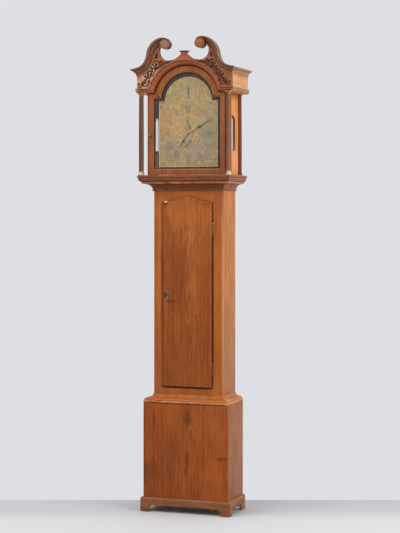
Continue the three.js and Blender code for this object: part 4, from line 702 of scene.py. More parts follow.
def dimmed(colour, share):
    """A colour at a share of its light."""
    return [part * share for part in colour]


def noise(tree, place, scale, detail=4.0, roughness=0.5):
    """Soft random value between 0 and 1, stretched by a scale along each axis or along all."""
    spread = moved(tree, place, scale=scale if isinstance(scale, tuple) else (scale,) * 3)
    inputs = {"Vector": spread, "Scale": 1.0, "Detail": detail, "Roughness": roughness}
    return node(tree, "TexNoise", inputs).outputs[0]


def ramp(tree, value, stops):
    """Colour along a ramp of (place, colour) stops."""
    made = node(tree, "ValToRGB", {"Fac": value})
    band = made.color_ramp
    while len(band.elements) < len(stops):
        band.elements.new(0.5)
    for element, (place, colour) in zip(band.elements, stops):
        element.position = place
        element.color = (*colour[:3], 1)
    return made.outputs[0]


def mix(tree, share, first, second):
    """Two colours mixed by a share."""
    made = node(tree, "Mix", data_type="RGBA")
    for socket, value in zip((made.inputs[0], made.inputs[6], made.inputs[7]), (share, first, second)):
        if isinstance(value, bpy.types.NodeSocket):
            tree.links.new(value, socket)
        elif socket.type == "RGBA":
            socket.default_value = (*value[:3], 1)
        else:
            socket.default_value = value
    return made.outputs[2]


def surface(tree, colour, roughness, height, bump, **constants):
    """Principled surface whose colour, roughness and bump come from nodes."""
    normal = node(tree, "Bump", {"Height": height, "Strength": 1.0, "Distance": bump}).outputs[0]
    inputs = {"Base Color": colour, "Roughness": roughness, "Normal": normal}
    shader = node(tree, "BsdfPrincipled", inputs)
    for key, value in constants.items():
        shader.inputs[key.replace("_", " ")].default_value = value
    output = node(tree, "OutputMaterial")
    tree.links.new(shader.outputs[0], output.inputs[0])


GRAIN_AXES = {"x": (0, 1, 2), "y": (1, 0, 2), "z": (2, 0, 1)}


def grain_place(tree, along, seed):
    """Coordinates with the grain along X: those of the part, turned, or the map along a moulding.
    The seed shifts them, so that no two boards come from the same place in the log."""
    if along == "map":
        place = node(tree, "UVMap", uv_map="grain").outputs[0]
    else:
        parts = node(tree, "SeparateXYZ", {0: node(tree, "TexCoord").outputs["Object"]}).outputs
        turned_parts = {k: parts[axis] for k, axis in enumerate(GRAIN_AXES[along])}
        place = node(tree, "CombineXYZ", turned_parts).outputs[0]
    return moved(tree, place, (seed * 1.37, seed * 0.41, seed * 0.23))


def with_spots(tree, colour, spots, rim=(70, 70, 16)):
    """Colour changed round each spot (side, level, half width, half height, share, colour, how ragged
    its rim is). Its outline is an ellipse, or where its rim isn't ragged, where the eighth powers of
    both distances add to 1."""
    place = node(tree, "TexCoord").outputs["Object"]
    uneven = maths(tree, "SUBTRACT", noise(tree, place, rim, 4, 0.65), 0.5)
    for x, level, wide, high, share, spot, ragged in spots:
        offset = moved(tree, place, (-x / wide, 0, -level / high), (1 / wide, 0, 1 / high))
        for _ in range(0 if ragged else 2):
            offset = node(tree, "VectorMath", {0: offset, 1: offset}, operation="MULTIPLY").outputs[0]
        away = node(tree, "VectorMath", {0: offset}, operation="LENGTH").outputs["Value"]
        away = plus(tree, away, uneven, ragged)
        colour = mix(tree, rescale(tree, away, 0.35, 1.2, share, 0.0), colour, spot)
    return colour


def wood(name, body, along, seed, worn, roughness=0.45, coat=0.02, spots=()):
    """Oiled oak of a body colour: broad bands and finer streaks along the grain, faint growth rings,
    fibre and open pores, clouded by patina. The mesh's wear value turns edges pale, for rubbing and
    painted highlights, and hollows dark, for grime and painted shade."""
    material, tree = blank(name)
    body = np.array(body)
    dark = body * (0.6, 0.5, 0.42)
    pale = body * (1.24, 1.34, 1.4)
    place = grain_place(tree, along, seed)
    broad = noise(tree, place, (3.2, 15, 15), 6, 0.68)
    streaks = noise(tree, place, (9, 130, 130), 4, 0.62)
    fibre = noise(tree, place, (18, 620, 620), 3, 0.65)
    wander = moved(tree, place, scale=(0.1, 1, 1))
    wave = {"Vector": wander, "Scale": 17.0, "Distortion": 7.0, "Detail": 4.0, "Detail Scale": 0.6}
    rings = node(tree, "TexWave", wave, wave_type="RINGS", rings_direction="X").outputs["Fac"]
    pores = rescale(tree, noise(tree, place, (50, 1400, 1400), 2, 0.5), 0.6, 0.72, 0.0, 1.0)
    patina = noise(tree, place, (8, 13, 13), 4, 0.6)
    value = 0.0
    for part, share in ((broad, 0.4), (streaks, 0.2), (rings, 0.05), (fibre, 0.35)):
        value = plus(tree, value, part, share)
    colour = ramp(tree, value, [(0.385, dark), (0.5, body), (0.61, pale)])
    colour = mix(tree, rescale(tree, patina, 0.4, 0.64, 0.0, 0.55), colour, body * (0.7, 0.72, 0.9))
    colour = mix(tree, maths(tree, "MULTIPLY", pores, 0.4), colour, dark * 0.4)
    # Pale edges are rubbing and painted highlights; dark hollows are grime and painted shade
    wear = node(tree, "Attribute", attribute_name="wear").outputs["Fac"]
    rub_and_highlight = rescale(tree, noise(tree, place, (26, 110, 110), 3, 0.6), 0.36, 0.62, 0.05, 0.9)
    colour = mix(tree, maths(tree, "MULTIPLY", maths(tree, "MAXIMUM", wear, 0.0), rub_and_highlight), colour, worn)
    grime_and_shade = maths(tree, "MAXIMUM", maths(tree, "MULTIPLY", wear, -0.85), 0.0)
    colour = with_spots(tree, mix(tree, grime_and_shade, colour, dark * 0.22), spots)
    height = plus(tree, maths(tree, "MULTIPLY", fibre, 0.6), pores, -0.8)
    sheen = rescale(tree, plus(tree, patina, fibre, 0.4), 0.4, 1.0, roughness - 0.1, roughness + 0.15)
    gloss = {"Coat_Weight": coat, "Coat_Roughness": 0.2, "Specular_IOR_Level": 0.15}
    surface(tree, colour, sheen, height, 0.00018, **gloss)
    return material


def metal(name, bright, dull, roughness=0.3, dullness=0.5, metallic=1.0, scale=1.0):
    """Metal with cloudy tarnish, fine scratches and a roughness that follows both."""
    material, tree = blank(name)
    place = node(tree, "TexCoord").outputs["Object"]
    clouds = noise(tree, place, 38 * scale, 5, 0.62)
    specks = noise(tree, place, 420 * scale, 3, 0.6)
    scratches = noise(tree, place, (2600, 90, 2600), 2, 0.5)
    share = rescale(tree, plus(tree, clouds, specks, 0.3), 0.45, 0.85, 0.0, dullness)
    rough = plus(tree, clouds, scratches, 0.3)
    rough = rescale(tree, rough, 0.4, 0.9, roughness - 0.08, roughness + 0.18)
    height = plus(tree, specks, scratches, 0.5)
    surface(tree, mix(tree, share, bright, dull), rough, height, 0.00006, Metallic=metallic)
    return material


def dial_brass(name, colours, metallic=0.25, roughness=0.46, matting=0.0):
    """Old lacquered brass: gold under clouds of amber, of rubbed silvering and of a green cast, each from
    its own noise."""
    material, tree = blank(name)
    place = node(tree, "TexCoord").outputs["Object"]
    specks = noise(tree, place, 640, 3, 0.6)
    gold = colours.dial_gold
    colour = mix(tree, rescale(tree, specks, 0.5, 0.75, 0.0, 0.5), gold, colours.tarnish)
    casts = (
        (colours.dial_amber, 13, 0.6),
        (colours.dial_green, 12, 0.5),
        (colours.dial_lilac, 28, 0.6),
        (dimmed(gold, 0.5), 42, 0.45),
        (dimmed(gold, 1.75), 66, 0.65),
    )
    for k, (cast, scale, share) in enumerate(casts):
        cloud = noise(tree, moved(tree, place, (2.3 * k, 0.9 * k, 1.7 * k + 0.5)), scale, 5, 0.66)
        colour = mix(tree, rescale(tree, cloud, 0.47, 0.64, 0.0, share), colour, cast)
    colour = with_spots(tree, colour, DIAL_SPOTS, (55, 55, 55))
    rough = rescale(tree, noise(tree, place, 150, 4, 0.6), 0.3, 0.7, roughness - 0.1, roughness + 0.16)
    surface(tree, colour, rough, specks, 0.00004 + matting, Metallic=metallic, Specular_IOR_Level=0.3)
    return material


def glass(name, colour, clear):
    """Old window glass, seen through for the share `clear`, with a slow wave and some dust."""
    material, tree = blank(name)
    place = node(tree, "TexCoord").outputs["Object"]
    waves = noise(tree, place, (14, 14, 6), 3, 0.5)
    dust = noise(tree, place, 160, 4, 0.6)
    shade = mix(tree, rescale(tree, dust, 0.4, 0.7, 0.0, 0.35), colour, dimmed(colour, 0.7))
    rough = rescale(tree, dust, 0.4, 0.7, 0.04, 0.12)
    surface(tree, shade, rough, waves, 0.0006, Alpha=1.0 - clear, Specular_IOR_Level=0.6)
    return material


def twine(name, colour):
    """Twisted gut: pale and dark turns that climb along the line's map."""
    material, tree = blank(name)
    wave = {"Vector": node(tree, "UVMap", uv_map="grain").outputs[0], "Scale": 160.0, "Distortion": 0.6}
    twist = node(tree, "TexWave", wave, bands_direction="DIAGONAL").outputs["Fac"]
    shade = mix(tree, rescale(tree, twist, 0.2, 0.8, 0.0, 0.5), colour, dimmed(colour, 0.45))
    surface(tree, shade, rescale(tree, twist, 0, 1, 0.4, 0.65), twist, 0.0002)
    return material


class Finishes:
    """The clock's finishes, made from the scene's colours."""

    def __init__(self, colours, first):
        self.colours = colours
        self.count = first

    def wood(self, kind, along, **settings):
        """A board's own finish: the same oak, cut from another place in the log."""
        self.count += 1
        name, body = f"{kind}_oak_{self.count:02d}", getattr(self.colours, kind)
        return wood(name, body, along, 0.73 * self.count, self.colours.worn, **settings)

    def brass(self):
        """Clean brass with some tarnish."""
        return metal("clean_brass", self.colours.brass, self.colours.tarnish, 0.3, 0.6)

    def old_brass(self):
        """Brass that has mostly gone brown."""
        return metal("brown_brass", dimmed(self.colours.brass, 0.62), self.colours.tarnish, 0.42, 0.95)

    def steel(self):
        """Blued steel."""
        return metal("blued_steel", self.colours.steel, dimmed(self.colours.steel, 0.5), 0.36, 0.6)

    def iron(self):
        """Cast iron with a sandy skin."""
        return metal("cast_iron", self.colours.iron, dimmed(self.colours.iron, 0.55), 0.6, 0.7, 0.5, 3.0)


def finish_node(name, material):
    """Gives a construction node a finish in each of its material slots."""
    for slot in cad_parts[name].material_slots:
        slot.material = material


# Mouldings round the case
def wrapped(profile, half, front, ratio, ease):
    """Moulding round both sides and the front. A profile point (reach, level) stands its reach off
    the side and `ratio` times that off the front, at the wall, at both front corners and at the wall
    again."""
    points, wear = eased(profile, ease)
    reach, level = points.T
    out = front + reach * ratio
    rows = [
        forward(-half - reach, 0 * reach, level),
        forward(-half - reach, out, level),
        forward(half + reach, out, level),
        forward(half + reach, 0 * reach, level),
    ]
    return shell(np.stack(rows), round_columns=True, ends=True, wear=wear[None, :])


def wrap(name, profile, half, front, ratio, ease, finishes, body, nodes=()):
    """Seats a moulding round the case, with the second finish on its returns along the sides."""
    mesh = solid(name, wrapped(profile, half, front, ratio, ease))
    piece = seat(mesh, finishes[0], body, nodes)
    piece.data.materials.append(finishes[1])
    for face in piece.data.polygons:
        face.material_index = int(abs(face.center.x) > half * MM / 2)


def trunk_moulding(node_name, draw, sizes, finishes, body="case", clear=0.0):
    """Seats a moulding that stands round the trunk in a node's place. `draw` makes its profile from a
    function that places a share of its reach and a height, and from its whole height."""
    (_, half), (_, front), (low, high) = span(node_name)
    inner_half, inner_front = TRUNK_HALF + clear, TRUNK_FRONT + clear
    reach = half - inner_half
    profile = draw(lambda share, up: (share * reach, low + up), high - low)
    ratio = (front - inner_front) / reach
    name = node_name.removesuffix("_moulding") + "_profile"
    wrap(name, profile, inner_half, inner_front, ratio, sizes.arris, finishes, body, [node_name])


def waist(at, top):
    """Step from the base in to the trunk: fillet, ovolo, cove and a bead against the trunk."""
    profile = [at(0, 0), at(1, 0), at(1, 6.4), at(0.94, 6.9), at(0.94, 8.2)]
    profile += quarter(at(0.94, 8.2), at(0.4, 22.6), False)
    profile += [at(0.36, 22.6), at(0.36, 24.4), at(0.3, 24.4)]
    profile += quarter(at(0.3, 24.4), at(0.14, 31), True)
    profile += [at(0.06, 31.4)]
    profile += bead(at(0.06, 31.4), at(0.06, 36.8), 2.8)
    return profile + [at(0, top)]


def throat(at, top):
    """Cove under the hood, from a bead on the trunk out to a square fillet."""
    profile = [at(0, 0), at(0.09, 0.6)]
    profile += bead(at(0.09, 0.6), at(0.09, 6.6), 2.4)
    profile += [at(0.09, 7.4), at(0.12, 7.6), at(0.12, 9)]
    profile += quarter(at(0.12, 9), at(0.9, top - 6), False, 12)
    return profile + [at(0.9, top - 4.8), at(1, top - 4.4), at(1, top), at(0, top)]


def rail(at, top):
    """Rail that the hood slides on: fillet, ovolo, quirk and a square member under the columns."""
    profile = [at(0, 0), at(0.74, 0), at(0.74, 3.6), at(0.76, 4.2)]
    profile += quarter(at(0.76, 4.2), at(0.93, 18), True)
    profile += [at(0.93, 20), at(0.9, 20.6), at(0.9, 22.2), at(0.97, 22.8)]
    profile += bead(at(0.97, 22.8), at(0.97, 31.2), 1.9)
    return profile + [at(0.95, 31.8), at(0.95, top), at(0, top)]


def skirt_bead(sizes, finishes):
    """Small ovolo on top of the skirt boards, against the base."""
    width, height = 11.4, 9
    at = from_corner(0, SKIRT_TOP)
    profile = [at(0, 0), at(width, 0), at(width, 1.6)]
    profile += quarter(at(width - 1, 1.9), at(0.8, height), False)
    profile += [at(0, height)]
    wrap("skirt_bead", profile, BASE_HALF, BASE_FRONT, 1.0, sizes.arris, finishes, "case")


# Trunk door and its furniture
def door_outline(left, right, bottom, shoulder):
    """Square below, and above an arch between two lobes."""
    middle, half = (left + right) / 2, (right - left) / 2
    lobe, crown, cusp = half - 48, shoulder + 14, shoulder + 12
    arch_half, rise, ease = 72, 24, 18
    radius = (arch_half**2 + rise**2) / (2 * rise)
    swing = np.arcsin(arch_half / radius)
    outline = [(left, bottom), (right, bottom), (right, shoulder)]
    outline += bend((right, shoulder), (middle + lobe + ease, crown), (middle + lobe, crown), 14)
    outline += arc((middle, cusp + rise - radius), radius, np.pi / 2 - swing, np.pi / 2 + swing, 40)
    outline += [(middle - lobe, crown)]
    outline += bend((middle - lobe, crown), (middle - lobe - ease, crown), (left, shoulder), 14)[:-1]
    return outline + [(left, shoulder)]


def trunk_door(sizes, finish):
    """Door with a rounded lip that covers the frame on three sides, on a body that fills the opening."""
    (left, right), (rear, front), (bottom, top) = span("trunk_door")
    shoulder = top - 36
    lip, seat_depth = 13, TRUNK_FRONT + CLEAR
    round_width = sizes.door_ovolo
    edge = [(0.4, seat_depth), (0, seat_depth + 0.4), (0, seat_depth + 1.5)]
    edge += [(0.9, seat_depth + 1.8)]
    edge += quarter((0.9, seat_depth + 1.8), (round_width, front - 0.5), False)
    edge += [(round_width + 0.6, front - 0.5), (round_width + 1.1, front)]
    # Dark rows at the lip: grime and a painted shadow under the lip; the pale row by the arris: rubbing
    # and a painted highlight
    wear = [-1, -1, -1, -1, *np.linspace(-1, -0.4, len(edge) - 6), 0.8, 0]
    face = plate(door_outline(left, right, bottom, shoulder), edge, wear=wear)
    body = door_outline(left + lip, right, bottom + lip, shoulder - lip)
    mesh = solid("trunk_door_lipped", face, block(body, rear, seat_depth, 0.5))
    seat(mesh, finish, "trunk_door_body", ["trunk_door"])


def escutcheon(finish):
    """Brass plate round the keyhole: a waisted shield with a rounded edge."""
    x, _, z = centre_of("trunk_key")
    half = [(0, -26), (5, -21), (9, -17), (7.5, -10), (10.5, -2), (14, 7), (11, 15), (5, 17)]
    right = through([*half, (2.5, 22), (0, 25)], 60)
    outline = np.vstack([right, right[-2:0:-1] * (-1, 1)]) + (x, z)
    front = span("trunk_door")[1][1]
    mesh = solid("escutcheon", plate(outline, [(0, front), (0, front + 0.6), (0.7, front + 1.2)]))
    seat(mesh, finish, "trunk_door_body")


def key(finish):
    """Key: a shank with two collars, and an oval bow that stands upright."""
    x, _, z = centre_of("trunk_key")
    rear, front = span("trunk_key")[1]
    wire, reach, stretch_up = 2, 9, 1.35
    middle = front - reach - wire
    r = 2.4
    shank = [(0, rear), (r - 0.4, rear), (r, rear + 0.5), (r, middle - reach - 11)]
    for collar in (middle - reach - 10, middle - reach - 5):
        ring = ((0, 0), (0.7, 0.3), (1.3, 1.3), (0.7, 2.3), (0, 2.6))
        shank += [(r + out, collar + on) for out, on in ring]
    shank += [(r * 0.8, middle - reach), (0, middle - reach + 0.5)]
    angle = np.linspace(0, 2 * np.pi, 48, endpoint=False)
    oval = forward(x + 0 * angle, middle + reach * np.cos(angle), z + stretch_up * reach * np.sin(angle))
    bow = tube(oval, wire, (1, 0, 0), closed=True)
    mesh = solid("turned_key", turned(shank, (x, z), "forward", 24), bow)
    seat(mesh, finish, "key_body", ["trunk_key"])


# Hood
def arched(half, bottom, shoulder, radius):
    """Square below, with an arch of a radius rising from the shoulders."""
    spring = np.arcsin((shoulder - ARCH_CENTRE) / radius)
    crown = arc((0, ARCH_CENTRE), radius, spring, np.pi - spring, 60)
    return [(-half, bottom), (half, bottom), (half, shoulder), *crown, (-half, shoulder)]


def hood_door(sizes, finish):
    """Arched door frame with a round worked along the glass."""
    half, rear, front, bottom = DOOR_HALF, DOOR_REAR, DOOR_FRONT, DOOR_BOTTOM
    shoulder = COLUMNS_TOP - 2 * CLEAR
    radius, stile, shoulder_rail = 166, 31.6, 24
    outer = arched(half, bottom, shoulder, radius)
    inner = arched(half - stile, bottom + stile, shoulder - shoulder_rail, radius - stile)
    ease, ovolo = sizes.board_arris, sizes.glazing_ovolo
    outside = [(ease, rear), (0, rear + ease), (0, front - ease), (ease, front)]
    inside = [(ovolo + 0.6, front), (ovolo, front - 0.6), (ovolo, front - 1.4)]
    inside += quarter((ovolo, front - 1.4), (0.6, front - 9), True)
    inside += [(0, front - 9.6), (0, rear)]
    middle = np.array((0, ARCH_CENTRE - 80))
    # Dark rows along the frame's edges and the glass rebate: painted shade in the gaps and under the
    # archivolt; slightly pale rows on the glazing round: rubbing
    wear = [-0.6, -0.6, -0.6, 0, 0, -0.7, -0.4] + [0.1] * (len(inside) - 6) + [-0.6, -1, -1]
    mesh = solid("hood_door_frame", opened(outer, inner, middle, outside, inside, wear=wear))
    seat(mesh, finish, "hood_door_body", ["hood_door"])


def column_parts(x, depth, radius, cap, sizes):
    """Shaft with a slight swell, and its turned base and cap: torus, hollow and torus below; astragal,
    neck and a square-edged abacus above."""
    low, high = HOOD_FLOOR, COLUMNS_TOP
    h = sizes.cap_height
    share = np.linspace(0, 1, 25)
    swell = radius - 1.1 * share**2 + 0.4 * np.sin(np.pi * share)
    shaft = list(zip(swell, low + h + share * (high - low - 2 * h)))
    shaft = [(0, low + h), *shaft, (0, high - h)]
    at = from_corner(0, low)
    base = [at(0, 0), at(cap, 0), at(cap, 2.6)]
    base += bead(at(cap - 1, 2.8), at(cap - 1, 7.4), 1)
    base += quarter(at(cap - 1.8, 7.8), at(radius + 0.5, 11), True, 5)
    base += bead(at(radius + 0.6, 11.6), at(radius + 0.6, 15), 1.2)
    base += [at(radius + 0.3, h), at(0, h)]
    at = from_corner(radius, high - h)
    top = [(0, high - h), at(-0.4, 0)]
    top += bead(at(-0.3, 0.6), at(-0.3, 3.4), 1.3)
    top += [at(-0.9, 4), at(-0.9, 7.4)]
    top += quarter(at(-0.7, 7.6), (cap - 0.6, high - 4.4), False, 6)
    top += [(cap, high - 4.2), (cap, high), (0, high)]
    return [turned(part, (x, depth)) for part in (shaft, base, top)]


def front_columns(sizes, finishes, bright, dull):
    """Free columns at the hood's front corners."""
    for side, finish in finishes.items():
        node_name = f"front_column_{side}"
        x0, x1 = span(node_name)[0]
        x, depth, _ = centre_of(node_name)
        shaft, base, top = column_parts(x, depth, COLUMN_RADIUS, (x1 - x0) / 2, sizes)
        seat(solid(f"column_shaft_{side}", shaft), finish, "hood_body", [node_name])
        seat(solid(f"column_base_{side}", base), bright, "hood_body")
        seat(solid(f"column_cap_{side}", top), dull, "hood_body")


def window_outline():
    """Side window: square below and round above, as depth and level."""
    _, (d0, d1), (z0, z1) = span("side_glass_right")
    over = 4.7
    d0, d1, z0, z1 = d0 + over, d1 - over, z0 + over, z1 - over
    half = (d1 - d0) / 2
    head = arc(((d0 + d1) / 2, z1 - half), half, 0, np.pi, 36)
    return [(d0, z0), (d1, z0), *head], np.array(((d0 + d1) / 2, (z0 + z1) / 2))


def hood_sides(sizes, board_finish, column_finish):
    """Side boards with their windows, and engaged columns at the back edge."""
    outline, middle = window_outline()
    thick, behind_door, under_roof = 14, 1.6, 12
    column_depth, cap_radius = 15.2, 15
    inner, outer = HOOD_SIDE - thick, HOOD_SIDE
    board = rectangle(0, DOOR_REAR - behind_door, HOOD_FLOOR, CORNICE_TOP - under_roof)
    ease = sizes.board_arris
    around = [(0, inner), (0, outer - ease), (ease, outer)]
    reveal = [(2.4, outer), (2, outer - 0.8)]
    reveal += quarter((2, outer - 0.8), (0, outer - 3.4), True, 5)
    reveal += [(0, inner)]
    for side, name in ((-1, "left"), (1, "right")):
        # Dark rows in the window's reveal: painted shade; the pale row at its arris: rubbing and a
        # painted highlight
        wear = [0] * len(around) + [0.2, -1] + [-1] * (len(reveal) - 2)
        shape = opened(board, outline, middle, around, reveal, facing_side(side), wear)
        x = side * REAR_COLUMN_X
        shaft, base, cap = column_parts(x, column_depth, COLUMN_RADIUS, cap_radius, sizes)
        for made, finish, nodes in (
            (solid(f"hood_board_{name}", shape), board_finish, [f"hood_side_{name}"]),
            (solid(f"rear_column_{name}", shaft), column_finish, ()),
            (solid(f"rear_column_caps_{name}", base, cap), column_finish, ()),
        ):
            seat(made, finish, "hood_body", nodes)


def knob(finish):
    """Turned brass knob on its rose."""
    x, _, z = centre_of("hood_door_knob")
    rear, front = span("hood_door_knob")[1]
    face = DOOR_FRONT + CLEAR
    at = from_corner(0, face)
    profile = [(0, rear), (2.4, rear), (2.4, face), at(6.4, 0), at(6.4, 0.8)]
    profile += quarter(at(6.2, 1), at(3, 3.6), False, 5)
    profile += quarter(at(2.6, 4.4), at(6.9, 10.6), True, 8)
    profile += quarter(at(6.9, 10.8), (0, front), False, 10)
    mesh = solid("knob", turned(profile, (x, z), "forward", 40))
    seat(mesh, finish, "hood_door_body", ["hood_door_knob"])


# Entablature and pediment
def arch_moulding(sizes, finish):
    """Architrave that rises over the door as an archivolt: fillet, ovolo, fillet, cove and a lip. A
    profile point (distance out from the opening, depth) is put at the mitre at each corner, and in
    between on its own circle about the arch's centre."""
    soffit, rear, face = FRIEZE_FRONT - 28, DOOR_FRONT + 1, FRIEZE_FRONT
    profile = [(0, rear), (0, soffit), (1.8, soffit + 1.2), (1.8, soffit + 3)]
    profile += quarter((2.4, soffit + 3.4), (12.6, face - 8.5), False)
    profile += [(12.6, face - 7), (14, face - 6.6)]
    profile += quarter((14, face - 6.6), (20.4, face + 1.2), True)
    profile += [(20.4, face + 2.6), (21.6, face + 3.2), (ARCH_BAND, face + ARCHITRAVE_FRONT)]
    profile += [(ARCH_BAND, rear)]
    points, wear = eased(profile, sizes.arris)
    out, depth = points.T
    # Painted shadow on the archivolt's inner face, over the door
    wear = np.where(out < 1, -0.8, wear)
    radius = ARCH_INNER + out
    spring = np.arcsin((COLUMNS_TOP + out - ARCH_CENTRE) / radius)
    share = np.linspace(0, 1, 81)[:, None]
    angle = spring + (np.pi - 2 * spring) * share
    curve = forward(radius * np.cos(angle), depth + 0 * angle, ARCH_CENTRE + radius * np.sin(angle))
    lean = ARCHITRAVE_REACH / ARCHITRAVE_FRONT
    end = FRIEZE_HALF - CLEAR + np.maximum(0, depth - FRIEZE_FRONT) * lean
    right, left = forward(end, depth, COLUMNS_TOP + out), forward(-end, depth, COLUMNS_TOP + out)
    grid = np.concatenate([right[None], curve, left[None]])
    mesh = solid("archivolt", shell(grid, round_columns=True, ends=True, wear=wear[None, :]))
    seat(mesh, finish, "hood_body", ["arch_moulding"])


def return_moulding(profile, lean, ease):
    """Moulding along the right side, from the wall to a mitre whose depth grows by `lean` times how
    far a point stands out from the frieze."""
    points, wear = eased(profile, ease)
    x, level = points.T
    front = FRIEZE_FRONT + (x - FRIEZE_HALF) * lean
    grid = np.stack([forward(x, 0 * x, level), forward(x, front, level)])
    return shell(grid, round_columns=True, ends=True, wear=wear[None, :])


def entablatures(sizes, board_finish, moulding_finish):
    """Frieze block over each side, with its architrave and cornice returns."""
    low, top = COLUMNS_TOP, CORNICE_TOP
    outline = rectangle(HOOD_SIDE + CLEAR, FRIEZE_HALF, low, top - 0.5)
    frieze = block(outline, 0, FRIEZE_FRONT - BOARD, 0.3)
    at = from_corner(FRIEZE_HALF, low)
    architrave = [at(-5, 0), at(0.6, 0), at(0.6, 2.4), at(1.6, 2.8)]
    architrave += quarter(at(1.6, 2.8), at(6.2, 15.4), True)
    architrave += [at(6.2, 17), at(ARCHITRAVE_REACH, 18), at(ARCHITRAVE_REACH, 21.6), at(7.4, 22.4)]
    architrave += [at(7.4, ARCH_BAND), at(-5, ARCH_BAND)]
    at = from_corner(FRIEZE_HALF, CORNICE_BOTTOM)
    cornice = [at(-5, 0), at(0, 0)]
    cornice += bead(at(0.3, 0.2), at(0.3, 3.6), 1.8)
    cornice += [at(3.2, 4.2)]
    cornice += quarter(at(3.2, 4.2), at(16.6, 21.6), False, 10)
    cornice += [at(16.6, 23.2), at(19.4, 23.8)]
    cornice += quarter(at(19.4, 23.8), at(22.4, 27.6), True, 5)
    cornice += [at(CORNICE_REACH, 32.5), at(-5, 32.5)]
    parts = [
        return_moulding(architrave, ARCHITRAVE_FRONT / ARCHITRAVE_REACH, sizes.arris),
        return_moulding(cornice, CORNICE_FRONT / CORNICE_REACH, sizes.arris),
    ]
    for name, turn in SIDES:
        mesh = solid(f"frieze_{name}", turn(frieze))
        seat(mesh, board_finish, "hood_body", [f"entablature_{name}"])
        mesh = solid(f"cornice_return_{name}", *map(turn, parts))
        seat(mesh, moulding_finish, "hood_body")


# What a shape drawn for the right side goes through for each side
SIDES = (("right", lambda part: part), ("left", mirrored))
# Points of the necks and their hollows, as shares for neck_point
NECK_RISE = ((0.912, 0.047), (0.759, 0.121), (0.646, 0.232), (0.58, 0.389), (0.545, 0.55),
             (0.478, 0.701), (0.358, 0.842), (0.182, 0.956))
NECK_HOLLOW = ((0.861, 0.017), (0.708, 0.061), (0.584, 0.11), (0.453, 0.242), (0.343, 0.397),
               (0.292, 0.551), (0.219, 0.65), (0.131, 0.727))


def neck_point(across, rise, bottom):
    """Point of the pediment: across from the neck's top (0) to the frieze's corner (1), and its share
    of the rise from a level to the neck's top."""
    return NECK_TOP_X + across * (FRIEZE_HALF - NECK_TOP_X), bottom + rise * (NECK_TOP - bottom)


def neck_edges(count):
    """Outer and inner edge of the right swan neck, from the cornice's corner up to the scroll."""
    r = ROSETTE_RADIUS
    outer = [(FRIEZE_HALF + CORNICE_REACH, CORNICE_TOP)]
    outer += [neck_point(a, b, CORNICE_TOP) for a, b in NECK_RISE]
    outer += [(NECK_TOP_X, NECK_TOP - 0.5), (ROSETTE_X - 0.16 * r, NECK_TOP - 2)]
    outer += [(ROSETTE_X - 0.72 * r, NECK_TOP - 10)]
    inner = [(FRIEZE_HALF, CORNICE_BOTTOM - 1)]
    inner += [neck_point(a, b, CORNICE_BOTTOM) for a, b in NECK_HOLLOW]
    inner += [(ROSETTE_X + 1.04 * r, ROSETTE_Z + 2), (ROSETTE_X + 0.56 * r, ROSETTE_Z + 8)]
    inner += [(ROSETTE_X + 0.16 * r, ROSETTE_Z + 12)]
    return through(outer, count), through(inner, count)


def swan_necks(sizes, finish, disc_finishes, rim_finish):
    """Scrolled cornices. A section point (share from the inner to the outer edge, depth) is carried
    along both edges, from the mitre at the corner to the scroll, which ends in a turned disc."""
    face = FRIEZE_FRONT
    at = from_corner(0, face)
    section = [at(0, 0), at(0, 4.2), at(0.025, 5.4)]
    section += [at(0.06, 6.6), at(0.1, 6.4), at(0.125, 5.2), at(0.13, 3.4), at(0.17, 3.4)]
    section += quarter(at(0.17, 3.4), at(0.48, 13.6), True)
    section += [at(0.48, 15.4), at(0.53, 15.8)]
    section += quarter(at(0.53, 15.8), at(0.8, 25.6), True)
    section += [at(0.8, 28.4), at(0.85, 29), at(0.9, 31), at(0.96, 32), at(1, 32), at(1, 0)]
    scaled, wear = eased([(share * NECK_WIDTH, depth) for share, depth in section], sizes.arris)
    share, depth = scaled[:, 0] / NECK_WIDTH, scaled[:, 1]
    outer, inner = neck_edges(121)
    places = inner[:, None] + share[None, :, None] * (outer - inner)[:, None]
    places[0, :, 0] = FRIEZE_HALF - CLEAR + (depth - face) * CORNICE_REACH / CORNICE_FRONT
    grid = forward(places[..., 0], np.broadcast_to(depth, places.shape[:2]), places[..., 1])
    neck = shell(grid, round_columns=True, ends=True, wear=wear[None, :])
    r = ROSETTE_RADIUS
    at = from_corner(r, TIP)
    rim = [(0, face), (r - 0.6, face), (r, face + 0.6), at(0, -3.4)]
    rim += bead(at(-0.2, -3.2), at(-4.4, -1.8), -1.6)
    rim += [at(-5, -3.2), at(-6, -3.4)]
    rim += quarter(at(-6, -3.4), (0, TIP - 1.6), False, 8)
    disc = turned(rim, (ROSETTE_X, ROSETTE_Z), "forward", 64, ease=sizes.arris)
    for name, turn in SIDES:
        seat(solid(f"neck_{name}", turn(neck)), finish, "hood_body", [f"swan_neck_{name}"])
        mesh = solid(f"scroll_disc_{name}", turn(disc))
        piece = seat(mesh, disc_finishes[name], "hood_body")
        piece.data.materials.append(rim_finish)
        for part in piece.data.polygons:
            part.material_index = int(abs(part.normal.y) < 0.5)


